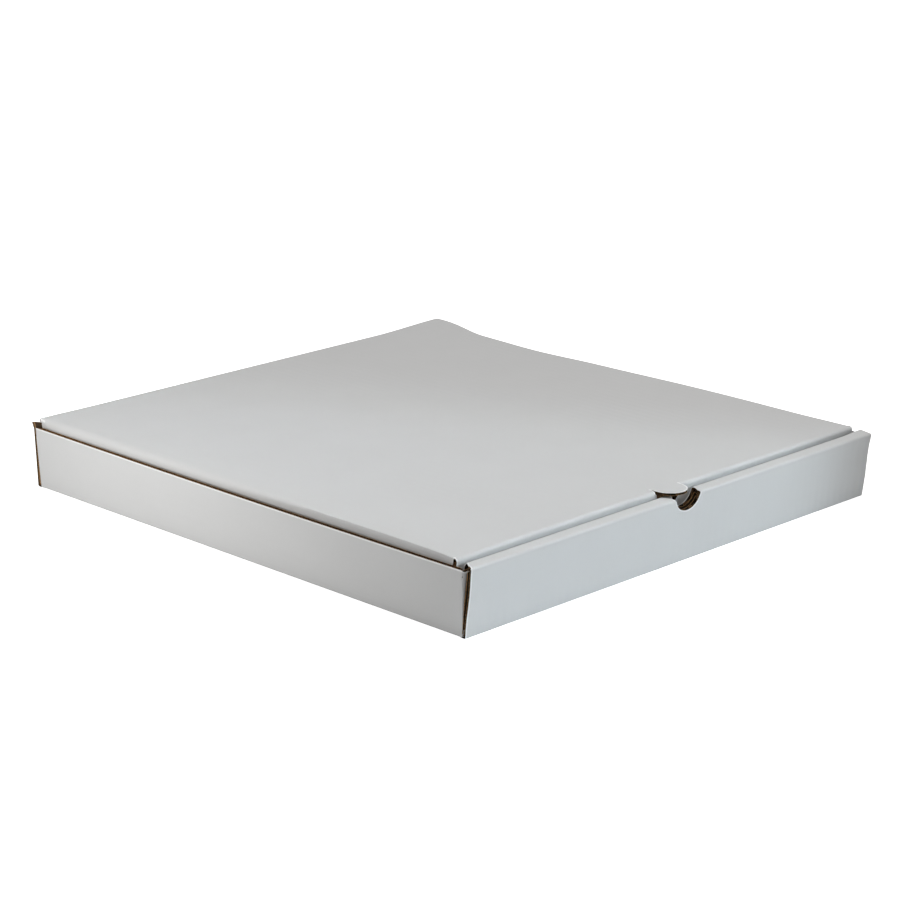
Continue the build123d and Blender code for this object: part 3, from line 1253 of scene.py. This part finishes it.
class FluteTree:
    """The geometry node tree that lays the wavy medium along a raw edge."""

    def __init__(self, card: CardSizes) -> None:
        """Build the tree.

        Args:
            card: The board's sizes.
        """
        self.tree = bpy.data.node_groups.new("flutes_along_edge", "GeometryNodeTree")
        self.inputs: dict[str, str] = {}
        face = self.tree.interface
        face.new_socket("Geometry", in_out="INPUT", socket_type="NodeSocketGeometry")
        face.new_socket("Geometry", in_out="OUTPUT", socket_type="NodeSocketGeometry")
        reach = card.board - 2 * card.liner - card.medium
        sizes = {
            "Pitch": card.flute_pitch,
            "Step": card.flute_pitch / 8,
            "Half Wave": reach / 2,
            "Middle": card.board / 2,
            "Set Back": card.edge_set_back,
            "Depth": card.groove,
            "Sheet": card.medium,
        }
        for name, value in sizes.items():
            socket = face.new_socket(name, in_out="INPUT", socket_type="NodeSocketFloat")
            socket.default_value = value * MM
            self.inputs[name] = socket.identifier
        material = face.new_socket("Material", in_out="INPUT", socket_type="NodeSocketMaterial")
        self.inputs["Material"] = material.identifier
        self._wire()

    def _wire(self) -> None:
        """Join the nodes: edge, even steps, a ribbon inwards, the wave, its thickness."""
        kit, link = NodeKit(self.tree), self.tree.links.new
        given = kit.add("NodeGroupInput")
        to_curve = kit.add("GeometryNodeMeshToCurve")
        steps = kit.add("GeometryNodeResampleCurve", mode="LENGTH")
        to_mesh = kit.add("GeometryNodeCurveToMesh")
        inward = kit.add("GeometryNodeInputNamedAttribute", data_type="FLOAT_VECTOR")
        inward.inputs["Name"].default_value = "inward"
        back = kit.add("ShaderNodeVectorMath", operation="SCALE")
        set_back = kit.add("GeometryNodeSetPosition")
        ribbon = kit.add("GeometryNodeExtrudeMesh", mode="EDGES")
        link(given.outputs["Geometry"], to_curve.inputs["Mesh"])
        link(to_curve.outputs[0], steps.inputs["Curve"])
        link(given.outputs["Step"], steps.inputs["Length"])
        link(steps.outputs[0], to_mesh.inputs["Curve"])
        link(inward.outputs["Attribute"], back.inputs[0])
        link(given.outputs["Set Back"], back.inputs["Scale"])
        link(to_mesh.outputs[0], set_back.inputs["Geometry"])
        link(back.outputs[0], set_back.inputs["Offset"])
        link(set_back.outputs[0], ribbon.inputs["Mesh"])
        link(inward.outputs["Attribute"], ribbon.inputs["Offset"])
        link(given.outputs["Depth"], ribbon.inputs["Offset Scale"])

        place = kit.add("GeometryNodeInputPosition")
        parts = kit.add("ShaderNodeSeparateXYZ")
        link(place.outputs[0], parts.inputs[0])
        pitches = kit.maths("DIVIDE", parts.outputs["X"], given.outputs["Pitch"])
        turns = kit.maths("MULTIPLY", pitches, math.tau)
        wave = kit.maths("MULTIPLY", kit.maths("SINE", turns), given.outputs["Half Wave"])
        height = kit.maths("ADD", wave, given.outputs["Middle"])
        whole = kit.add("ShaderNodeCombineXYZ")
        link(parts.outputs["X"], whole.inputs["X"])
        link(parts.outputs["Y"], whole.inputs["Y"])
        link(height, whole.inputs["Z"])
        waved = kit.add("GeometryNodeSetPosition")
        link(ribbon.outputs["Mesh"], waved.inputs["Geometry"])
        link(whole.outputs[0], waved.inputs["Position"])

        thick = kit.add("GeometryNodeExtrudeMesh", mode="FACES")
        thick.inputs["Individual"].default_value = False
        flip = kit.add("GeometryNodeFlipFaces")
        join = kit.add("GeometryNodeJoinGeometry")
        weld = kit.add("GeometryNodeMergeByDistance")
        realize = kit.add("GeometryNodeRealizeInstances")
        paint = kit.add("GeometryNodeSetMaterial")
        result = kit.add("NodeGroupOutput")
        link(waved.outputs[0], thick.inputs["Mesh"])
        link(given.outputs["Sheet"], thick.inputs["Offset Scale"])
        link(waved.outputs[0], flip.inputs[0])
        link(flip.outputs[0], join.inputs[0])
        link(thick.outputs["Mesh"], join.inputs[0])
        link(join.outputs[0], weld.inputs["Geometry"])
        weld.inputs["Distance"].default_value = 1e-6
        link(weld.outputs[0], realize.inputs[0])
        link(realize.outputs[0], paint.inputs["Geometry"])
        link(given.outputs["Material"], paint.inputs["Material"])
        link(paint.outputs[0], result.inputs[0])

    def along(self, name: str, piece: CardPiece, material: bpy.types.Material) -> bpy.types.Mesh:
        """Lay the medium along every raw edge of a flat piece.

        Args:
            name: The new mesh's name.
            piece: The flat piece of card.
            material: The medium's material.

        Returns:
            The flat ribbons, in metres.
        """
        points, edges, ways = [], [], []
        for loop, raw in piece.loops:
            first = len(points)
            points += [(u * MM, v * MM, 0.0) for u, v in loop]
            ways += [(*move, 0.0) for move in piece.inward(loop, raw)]
            edges += [(first + i, first + (i + 1) % len(loop)) for i in range(len(loop)) if raw[i]]
        path = bpy.data.meshes.new(name)
        path.from_pydata(points, edges, [])
        path.attributes.new("inward", "FLOAT_VECTOR", "POINT").data.foreach_set("vector", np.ravel(ways))
        holder = bpy.data.objects.new(name, path)
        bpy.context.scene.collection.objects.link(holder)
        modifier = holder.modifiers.new("flutes", "NODES")
        modifier.node_group = self.tree
        modifier[self.inputs["Material"]] = material
        graph = bpy.context.evaluated_depsgraph_get()
        mesh = bpy.data.meshes.new_from_object(holder.evaluated_get(graph))
        holder.modifiers.remove(modifier)
        bpy.data.objects.remove(holder)
        bpy.data.meshes.remove(path)
        return mesh


def grey(value: float, warm: float = 0.0) -> Colour:
    """A grey, made warmer or, below zero, cooler."""
    return (value * (1 + warm), value, value * (1 - warm), 1.0)


def paper_group() -> bpy.types.NodeTree:
    """The texture of pressed paper: fibres, cloudy tone and the washboard over the flutes.

    The scales of its noises are in cells to a metre.

    Returns:
        A group with inputs for the place and the strengths, and outputs for tone, grain and height.
    """
    tree = bpy.data.node_groups.new("paper", "ShaderNodeTree")
    face = tree.interface
    face.new_socket("Place", in_out="INPUT", socket_type="NodeSocketVector")
    for name in ("Flute Pitch", "Washboard", "Fibre", "Cloud"):
        face.new_socket(name, in_out="INPUT", socket_type="NodeSocketFloat")
    for name in ("Tone", "Height", "Grain"):
        face.new_socket(name, in_out="OUTPUT", socket_type="NodeSocketFloat")
    kit = NodeKit(tree)
    given = kit.add("NodeGroupInput").outputs
    parts = kit.add("ShaderNodeSeparateXYZ")
    kit.feed(given["Place"], parts.inputs[0])
    wander = kit.noise(kit.scaled(given["Place"], (9.0, 3.0, 9.0)), 1.0, 2.0)
    drift = kit.maths("MULTIPLY", kit.maths("SUBTRACT", wander, 0.5), 1.2)
    pitches = kit.maths("DIVIDE", parts.outputs["X"], given["Flute Pitch"])
    turns = kit.maths("MULTIPLY", pitches, math.tau)
    wave = kit.maths("SINE", kit.maths("ADD", turns, drift))
    patches = kit.noise(kit.scaled(given["Place"], (14.0, 5.0, 14.0)), 1.0, 3.0)
    patch = kit.spread(patches, 0.35, 0.65, 0.35, 1.0)
    ridges = kit.maths("MULTIPLY", kit.maths("MULTIPLY", wave, patch), given["Washboard"])
    long_fibre = kit.noise(kit.scaled(given["Place"], (2600.0, 520.0, 1500.0)), 1.0, 4.0, 0.7)
    short_fibre = kit.noise(given["Place"], 1400.0, 5.0, 0.65)
    grain = kit.maths("ADD", kit.maths("MULTIPLY", long_fibre, 0.6), kit.maths("MULTIPLY", short_fibre, 0.4))
    cloud = kit.noise(given["Place"], 26.0, 5.0, 0.6)
    fibre_tone = kit.maths("MULTIPLY", kit.maths("SUBTRACT", grain, 0.5), given["Fibre"])
    cloud_tone = kit.maths("MULTIPLY", kit.maths("SUBTRACT", cloud, 0.5), given["Cloud"])
    result = kit.add("NodeGroupOutput").inputs
    kit.feed(kit.maths("ADD", kit.maths("ADD", fibre_tone, cloud_tone), 1.0), result["Tone"])
    kit.feed(kit.maths("ADD", ridges, kit.maths("MULTIPLY", grain, given["Fibre"])), result["Height"])
    kit.feed(grain, result["Grain"])
    return tree


@dataclass(frozen=True)
class PaperFinish:
    """A paper surface of the board.

    Attributes:
        name: The material's name.
        colour: Its plain colour.
        roughness: How matt it is.
        washboard: How strongly the flutes show through, as a share of the bump.
        fibre: How strongly fibres show in tone and bump.
        cloud: How strongly the tone drifts from place to place.
        rim: The colour along a raw edge. It is painted light and shade: a painted highlight along the white
            liner's edges and painted shade along the kraft's.
        rim_width: How far from a raw edge that colour reaches.
        rim_share: How much of that colour there is at the raw edge itself.
        gloss: How much light it mirrors.
        bump: The bump's height.
    """

    name: str
    colour: Colour
    roughness: float = 0.78
    washboard: float = 0.5
    fibre: float = 0.10
    cloud: float = 0.05
    # The default rim is a painted highlight along a white liner's raw edges.
    rim: Colour = grey(0.86)
    rim_width: float = 0.65
    rim_share: float = 0.8
    gloss: float = 0.3
    bump: float = 0.05

    def material(self, paper: bpy.types.NodeTree, pitch: float) -> bpy.types.Material:
        """Build the material.

        Args:
            paper: The shared paper group.
            pitch: The flutes' pitch.

        Returns:
            A new material.
        """
        made, kit = new_material(self.name)
        place = kit.add("ShaderNodeAttribute", attribute_name="flat")
        edge = kit.add("ShaderNodeAttribute", attribute_name="from_edge")
        group = kit.add("ShaderNodeGroup")
        group.node_tree = paper
        values = {
            "Flute Pitch": pitch * MM,
            "Washboard": self.washboard,
            "Fibre": self.fibre,
            "Cloud": self.cloud,
        }
        kit.feed(place.outputs["Vector"], group.inputs["Place"])
        for name, value in values.items():
            group.inputs[name].default_value = value
        toned = kit.add("ShaderNodeVectorMath", operation="SCALE")
        toned.inputs[0].default_value = self.colour[:3]
        kit.feed(group.outputs["Tone"], toned.inputs["Scale"])
        # Painted light and shade along the raw edges: the rim colour is mixed in near them.
        reach = kit.maths("MULTIPLY", group.outputs["Grain"], 2 * self.rim_width)
        painted_rim_mask = kit.spread(kit.maths("SUBTRACT", edge.outputs["Fac"], reach), -0.3, 0.3, 1.0, 0.0)
        shader = kit.add("ShaderNodeBsdfPrincipled")
        colour = kit.mix(kit.maths("MULTIPLY", painted_rim_mask, self.rim_share), toned.outputs[0], self.rim)
        kit.feed(colour, shader.inputs["Base Color"])
        rough = kit.spread(group.outputs["Grain"], 0.3, 0.7, self.roughness - 0.06, self.roughness + 0.06)
        kit.feed(rough, shader.inputs["Roughness"])
        shader.inputs["Specular IOR Level"].default_value = self.gloss
        kit.feed(kit.bump(group.outputs["Height"], self.bump), shader.inputs["Normal"])
        kit.finish(shader)
        return made


@dataclass(frozen=True)
class CutFinish:
    """Torn and pressed fibre at a die-cut edge.

    Attributes:
        name: The material's name.
        light: The colour of its high fibres.
        dark: The colour of its low fibres.
        shares: How much of it is light at the box's front and at its back. This is painted light and shade:
            darker towards the front for the shade in the front wall's gaps, lighter towards the back for the
            light on the far edges.
        front_to_back: Where along the box that share starts to change and stops, in metres.
        scale: How fine the fibres are.
        gloss: How much light it mirrors.
        bump: The bump's height.
    """

    name: str
    light: Colour
    dark: Colour
    shares: Span = (1.0, 1.0)
    front_to_back: Span = (-0.1, 0.17)
    scale: float = 900.0
    gloss: float = 0.15
    bump: float = 0.08

    def material(self) -> bpy.types.Material:
        """Build the material."""
        made, kit = new_material(self.name)
        place = kit.add("ShaderNodeTexCoord").outputs["Object"]
        fibre = kit.noise(place, self.scale, 4.0, 0.7)
        shader = kit.add("ShaderNodeBsdfPrincipled")
        apart = kit.add("ShaderNodeSeparateXYZ")
        kit.feed(place, apart.inputs[0])
        # Painted light and shade: fewer light fibres towards the front, more towards the back.
        painted_light_and_shade = kit.spread(apart.outputs[1], *self.front_to_back, *self.shares)
        share = kit.maths("MULTIPLY", kit.spread(fibre, 0.35, 0.65, 0.0, 1.0), painted_light_and_shade)
        kit.feed(kit.mix(share, self.dark, self.light), shader.inputs["Base Color"])
        kit.feed(kit.spread(fibre, 0.3, 0.7, 0.85, 0.95), shader.inputs["Roughness"])
        shader.inputs["Specular IOR Level"].default_value = self.gloss
        kit.feed(kit.bump(fibre, self.bump), shader.inputs["Normal"])
        kit.finish(shader)
        return made


@dataclass
class CardFinishes:
    """All materials of the card."""

    card: CardSizes

    def __post_init__(self) -> None:
        """Build the materials once."""
        paper = paper_group()
        pitch = self.card.flute_pitch
        # The white liner keeps the default rim, a painted highlight along its raw edges.
        white = PaperFinish("white_liner", grey(0.60))
        # The kraft's dark rim is painted shade along its raw edges.
        kraft = PaperFinish(
            "kraft_liner",
            (0.28, 0.175, 0.098, 1.0),
            roughness=0.86,
            washboard=0.7,
            fibre=0.3,
            cloud=0.16,
            rim=(0.12, 0.072, 0.038, 1.0),
            rim_width=1.3,
            bump=0.07,
        )
        # Painted shade: a near-black kraft for the narrow gaps in the front wall's roll and on the ears, with
        # a lighter rim at its raw edges.
        painted_shade_kraft = PaperFinish(
            "kraft_liner_painted_shade",
            (0.034, 0.02, 0.01, 1.0),
            roughness=0.9,
            washboard=0.4,
            fibre=0.3,
            cloud=0.3,
            rim=(0.06, 0.035, 0.017, 1.0),
            rim_width=0.3,
            bump=0.07,
        )
        white_cut = CutFinish("white_liner_cut", grey(0.85, 0.01), grey(0.68, 0.04))
        # Their shares paint shade on the cut edges towards the front and light on them towards the back.
        kraft_cut = CutFinish("kraft_cut", (0.46, 0.27, 0.12, 1.0), (0.06, 0.033, 0.015, 1.0), (1.0, 1.5))
        medium = CutFinish("fluted_medium", (0.34, 0.19, 0.085, 1.0), (0.03, 0.017, 0.008, 1.0), (0.7, 1.5))
        # The hollow is painted shade: a near-black finish for the inside of the flutes.
        hollow = CutFinish("flute_hollow_painted_shade", (0.18, 0.1, 0.045, 1.0), (0.01, 0.006, 0.003, 1.0), (0.15, 1.3))
        self.by_side = {
            CardSide.WHITE: white.material(paper, pitch),
            CardSide.KRAFT: kraft.material(paper, pitch),
            CardSide.WHITE_CUT: white_cut.material(),
            CardSide.KRAFT_CUT: kraft_cut.material(),
            CardSide.MEDIUM: medium.material(),
            CardSide.KRAFT_SHADED: painted_shade_kraft.material(paper, pitch),
            CardSide.HOLLOW_SHADE: hollow.material(),
        }


class PizzaBox:
    """The whole box: tray, lid, the two halves of the fold between them and the kraft inside that fold.

    Attributes:
        crease_depths: How deep the kraft inside the fold lies, in thicknesses of a liner.
        sharp_angle: The angle over which an edge of the card isn't shaded smooth, in degrees.
    """

    crease_depths = (1.2, 1.8)
    sharp_angle = 40.0

    def __init__(self, card: CardSizes, box: BoxSizes) -> None:
        """Draw the blank.

        Args:
            card: The board's sizes.
            box: The folded box's sizes.
        """
        self.card = card
        self.blank = Blank(card, box)
        self.warp = Warp(box)
        self.finishes = CardFinishes(card)
        self.flutes = FluteTree(card)

    def build(self) -> None:
        """Make every piece and finish it, and hang all but the kraft inside the fold on their bodies."""
        blank = self.blank
        outline = blank.tray_outline()
        joined = [outline.index((blank.ear_inside, blank.hinge_start))]
        holes = [blank.notch_outline(), *blank.lock_slots()]
        self._piece(CardPiece("tray", blank, outline, holes, joined), self._fold_tray, "tray")
        outline = blank.lid_outline()
        lid = CardPiece("lid", blank, outline, [blank.tongue_cut()], [len(outline) - 1])
        self._piece(lid, self._fold_lid, "lid")
        low, middle, high = blank.hinge_start, blank.hinge_middle, blank.hinge_end
        ends = [0, 2]
        halves = (("hinge_foot", low, middle, "tray"), ("hinge_head", middle, high, "lid"))
        for name, start, end, body in halves:
            half = CardPiece(name, blank, blank.hinge_outline(start, end), [], ends)
            self._piece(half, self._fold_lid, body)
        outline = blank.hinge_outline(low, high, self.card.groove)
        self._crease(CardPiece("hinge_crease", blank, outline, [], ends))

    def _fold_tray(self, points: np.ndarray) -> np.ndarray:
        """Fold and bend flat points of the tray."""
        return self.warp.tray(self.blank.fold_tray(points))

    def _fold_lid(self, points: np.ndarray) -> np.ndarray:
        """Fold and bend flat points of the lid or of the fold between lid and tray."""
        return self.warp.lid(self.blank.fold_lid(points))

    def _paint_shade_in_narrow_places(self, sheet: Sheet) -> None:
        """Give the kraft inside the front wall's roll, and on the ears beside the hinge, a near-black finish
        that is painted shade for those narrow gaps.

        Args:
            sheet: The flat sheet with the kraft face.
        """
        blank = self.blank
        box = blank.box
        for index, face in enumerate(sheet.faces):
            if sheet.slots[index] == CardSide.KRAFT.value:
                u, v, _ = sheet.points[list(face)].mean(axis=0)
                on_ear = box.lid_half_width < abs(u) < box.half_width + box.slit
                on_ear = on_ear and blank.back_v(box.side_height - 1) < v < blank.back_v(box.lid_top)
                # These kraft faces sit in narrow gaps and take the painted shade.
                if v < blank.front[0].start[1] or on_ear:
                    sheet.slots[index] = CardSide.KRAFT_SHADED.value

    def _cover_mitre(self, sheet: Sheet) -> None:
        """Give a sheet's end at the middle of the fold the colour of kraft, for when the lid is open.

        Args:
            sheet: The flat sheet.
        """
        for index, face in enumerate(sheet.faces):
            if np.allclose(sheet.points[list(face), 1], self.blank.hinge_middle, atol=1e-4):
                sheet.slots[index] = CardSide.KRAFT.value

    def _crease(self, piece: CardPiece) -> None:
        """Make the kraft inside the fold, which keeps light out of it. It is folded as the lid is and hung on
        no body.

        Args:
            piece: The flat strip.
        """
        flat, triangles = piece.triangulate([loop for loop, _ in piece.loops])
        low, high = (share * self.card.liner for share in self.crease_depths)
        made = self._card_object(
            piece, [Sheet.between(flat, triangles, low, high, (CardSide.KRAFT,) * 3)], self._fold_lid
        )
        self._bend_at_hinge(made)
        log.info("%s: %d faces of card", piece.name, len(made.data.polygons))

    def _piece(self, piece: CardPiece, fold: Folding, body: str) -> None:
        """Make one piece of the card and the flutes at its raw edges.

        Args:
            piece: The flat piece.
            fold: The function that folds its points.
            body: The body that it rides on.
        """
        card = self.card
        flat, triangles = piece.triangulate([loop for loop, _ in piece.loops])
        core_flat, core_triangles = piece.triangulate(piece.inset(card.groove))
        inner = card.board - card.liner
        # The liners' inner faces and the sheet between them take the hollow's painted shade.
        white_sides = (CardSide.WHITE, CardSide.HOLLOW_SHADE, CardSide.WHITE_CUT)
        kraft_sides = (CardSide.HOLLOW_SHADE, CardSide.KRAFT, CardSide.KRAFT_CUT)
        sheets = [
            Sheet.between(flat, triangles, 0, card.liner, white_sides),
            Sheet.between(core_flat, core_triangles, card.liner, inner, (CardSide.HOLLOW_SHADE,) * 3),
            Sheet.between(flat, triangles, inner, card.board, kraft_sides),
        ]
        self._paint_shade_in_narrow_places(sheets[-1])
        for sheet in sheets:
            self._cover_mitre(sheet)
        made = self._card_object(piece, sheets, fold)
        ribbons = self._flute_object(piece, fold)
        for thing in (made, ribbons):
            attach(thing, body)
        if piece.name == body:
            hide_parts(body)
        counts = [len(thing.data.polygons) for thing in (made, ribbons)]
        log.info("%s: %d faces of card, %d of flutes", piece.name, *counts)

    def _card_object(self, piece: CardPiece, sheets: list[Sheet], fold: Folding) -> bpy.types.Object:
        """Join the sheets of a piece, fold them and keep their flat places for the materials.

        Args:
            piece: The flat piece.
            sheets: Its sheets, still flat.
            fold: The function that folds their points.

        Returns:
            The new object.
        """
        points = np.concatenate([sheet.points for sheet in sheets])
        faces, slots, first = [], [], 0
        for sheet in sheets:
            faces += [tuple(corner + first for corner in face) for face in sheet.faces]
            slots += sheet.slots
            first += len(sheet.points)
        mesh = bpy.data.meshes.new(f"{piece.name}_card")
        mesh.from_pydata((fold(points) * MM).tolist(), [], faces)
        mesh.polygons.foreach_set("material_index", slots)
        for side in CardSide:
            mesh.materials.append(self.finishes.by_side[side])
        mesh.attributes.new("flat", "FLOAT_VECTOR", "POINT").data.foreach_set("vector", np.ravel(points * MM))
        from_edge = distance_to(points[:, :2], *piece.raw_cuts())
        mesh.attributes.new("from_edge", "FLOAT", "POINT").data.foreach_set("value", from_edge)
        mesh.shade_smooth()
        mesh.set_sharp_from_angle(angle=math.radians(self.sharp_angle))
        return self._link(mesh)

    def _flute_object(self, piece: CardPiece, fold: Folding) -> bpy.types.Object:
        """Lay the medium along the piece's raw edges and fold it with the card.

        Args:
            piece: The flat piece.
            fold: The function that folds its points.

        Returns:
            The new object.
        """
        mesh = self.flutes.along(f"{piece.name}_flutes", piece, self.finishes.by_side[CardSide.MEDIUM])
        points = np.zeros(len(mesh.vertices) * 3)
        mesh.vertices.foreach_get("co", points)
        folded = fold(points.reshape(-1, 3) / MM) * MM
        mesh.vertices.foreach_set("co", np.ravel(folded))
        mesh.update()
        mesh.shade_smooth()
        return self._link(mesh)

    @staticmethod
    def _link(mesh: bpy.types.Mesh) -> bpy.types.Object:
        """Put a mesh in the scene under its own name."""
        made = bpy.data.objects.new(mesh.name, mesh)
        bpy.context.scene.collection.objects.link(made)
        return made

    def _bend_at_hinge(self, thing: bpy.types.Object) -> None:
        """Bake a piece's placement into its mesh."""
        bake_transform(thing)


@dataclass(frozen=True)
class Lamp:
    """A soft area lamp.

    Attributes:
        name: Its name.
        place: Where it stands, in millimetres.
        aim: What it points at, in millimetres.
        size: The side of its square face, in millimetres.
        power: Its power in watts.
        colour: Its colour.
        spread: How wide its beam is, in degrees.
    """

    name: str
    place: tuple[float, float, float]
    aim: tuple[float, float, float]
    size: float
    power: float
    colour: tuple[float, float, float] = (1.0, 1.0, 1.0)
    spread: float = 180.0

    def build(self) -> None:
        """Hang the lamp."""
        data = bpy.data.lights.new(self.name, "AREA")
        data.size = self.size * MM
        data.energy = self.power
        data.color = self.colour
        data.spread = math.radians(self.spread)
        lamp = bpy.data.objects.new(self.name, data)
        lamp.location = Vector(self.place) * MM
        way = Vector(self.aim) - Vector(self.place)
        lamp.rotation_euler = way.to_track_quat("-Z", "Y").to_euler()
        lamp.visible_camera = False
        bpy.context.scene.collection.objects.link(lamp)


@dataclass(frozen=True)
class PhotoCamera:
    """The photograph's camera, fitted to the box's corners and edges.

    Attributes:
        azimuth: How far it stands round from the front, in degrees. Below zero is to the left.
        elevation: Its height above the horizon, in degrees.
        distance: How far it stands from the box's middle.
        slide: How far it is moved to its own right.
        rise: How far it is moved up.
        focal_pixels: The focal length in pixels of the photograph.
        centre_pixels: Where its axis meets the photograph.
        frame_pixels: The side of the square photograph.
        sensor_width: The width of the sensor that the lens is given for.
        clip: The nearest and the furthest place that it sees, in metres.
    """

    azimuth: float = -44.46
    elevation: float = 17.96
    distance: float = 1600.6
    slide: float = -31.15
    rise: float = 0.81
    focal_pixels: float = 2693.8
    centre_pixels: tuple[float, float] = (396.5, 490.0)
    frame_pixels: float = 900.0
    sensor_width: float = 36.0
    clip: Span = (0.05, 50.0)

    def build(self) -> None:
        """Put the camera in the scene."""
        a, e = math.radians(self.azimuth), math.radians(self.elevation)
        back = Vector((math.sin(a) * math.cos(e), -math.cos(a) * math.cos(e), math.sin(e)))
        right = Vector((math.cos(a), math.sin(a), 0))
        up = back.cross(right)
        data = bpy.data.cameras.new("photo_camera")
        data.sensor_width = self.sensor_width
        data.lens = self.focal_pixels / self.frame_pixels * self.sensor_width
        data.shift_x = (self.frame_pixels / 2 - self.centre_pixels[0]) / self.frame_pixels
        data.shift_y = (self.centre_pixels[1] - self.frame_pixels / 2) / self.frame_pixels
        data.clip_start, data.clip_end = self.clip
        camera = bpy.data.objects.new("photo_camera", data)
        camera.location = (back * self.distance + right * self.slide + up * self.rise) * MM
        camera.rotation_mode = "QUATERNION"
        camera.rotation_quaternion = (-back).to_track_quat("-Z", "Y")
        bpy.context.scene.collection.objects.link(camera)
        bpy.context.scene.camera = camera


@dataclass(frozen=True)
class Studio:
    """A white sweep, soft lamps and the camera.

    Attributes:
        floor_size: The side of the square floor, in millimetres.
        floor_grey: How light the floor is where it takes the box's shade.
        floor_glow: How strongly it shines to the camera and in reflections.
        ambient: The strength of the light from all round.
    """

    floor_size: float = 12000.0
    floor_grey: float = 0.72
    floor_glow: float = 0.85
    ambient: float = 0.16

    def build(self) -> None:
        """Make the stage."""
        self._floor()
        self._world()
        for lamp in self.lamps():
            lamp.build()
        PhotoCamera().build()

    def lamps(self) -> list[Lamp]:
        """The lamps: two large ones overhead, and one beside each wall that the photograph shows."""
        return [
            Lamp("overhead", (-120, -60, 1800), (0, 0, 0), 1600, 19.9, (1.0, 0.995, 0.985)),
            Lamp("overhead_front", (200, -900, 1500), (60, -150, 40), 700, 5.1, (1.0, 0.99, 0.975)),
            Lamp("left", (-420, 105, 95), (-168, 77, 20), 200, 0.485, (1.0, 1.0, 0.985)),
            Lamp("front", (150, -560, 160), (-62, -177, 25), 350, 0.205, (0.8, 0.93, 1.0), 18.0),
        ]

    def _floor(self) -> None:
        """The floor, white to the camera and a little darker where the box shades it."""
        half = self.floor_size / 2 * MM
        mesh = bpy.data.meshes.new("floor")
        corners = [(-half, -half, 0), (half, -half, 0), (half, half, 0), (-half, half, 0)]
        mesh.from_pydata(corners, [], [(0, 1, 2, 3)])
        floor = bpy.data.objects.new("floor", mesh)
        bpy.context.scene.collection.objects.link(floor)
        made, kit = new_material("white_floor")
        path = kit.add("ShaderNodeLightPath")
        seen = kit.maths("MAXIMUM", path.outputs["Is Camera Ray"], path.outputs["Is Glossy Ray"])
        diffuse = kit.add("ShaderNodeBsdfDiffuse")
        kit.feed(kit.mix(seen, grey(self.floor_grey), grey(1.0)), diffuse.inputs["Color"])
        glow = kit.add("ShaderNodeEmission")
        kit.feed(kit.maths("MULTIPLY", seen, self.floor_glow), glow.inputs["Strength"])
        both = kit.add("ShaderNodeAddShader")
        kit.feed(diffuse.outputs[0], both.inputs[0])
        kit.feed(glow.outputs[0], both.inputs[1])
        kit.finish(both)
        mesh.materials.append(made)

    def _world(self) -> None:
        """Even light from all round, and plain white where the camera looks past the floor."""
        world = bpy.data.worlds.new("studio")
        world.use_nodes = True
        world.node_tree.nodes.clear()
        kit = NodeKit(world.node_tree)
        path = kit.add("ShaderNodeLightPath")
        seen = kit.maths("MAXIMUM", path.outputs["Is Camera Ray"], path.outputs["Is Glossy Ray"])
        shade = kit.add("ShaderNodeBackground")
        kit.feed(kit.spread(seen, 0.0, 1.0, self.ambient, 1.0), shade.inputs["Strength"])
        kit.finish(shade, "ShaderNodeOutputWorld")
        bpy.context.scene.world = world
        bpy.context.scene.view_settings.view_transform = "Standard"


def main() -> None:
    """Build the box and its studio."""
    logging.basicConfig(level=logging.INFO, format="%(name)s: %(message)s")
    PizzaBox(CardSizes(), BoxSizes.from_frame()).build()
    Studio().build()


if __name__ == "__main__":
    main()
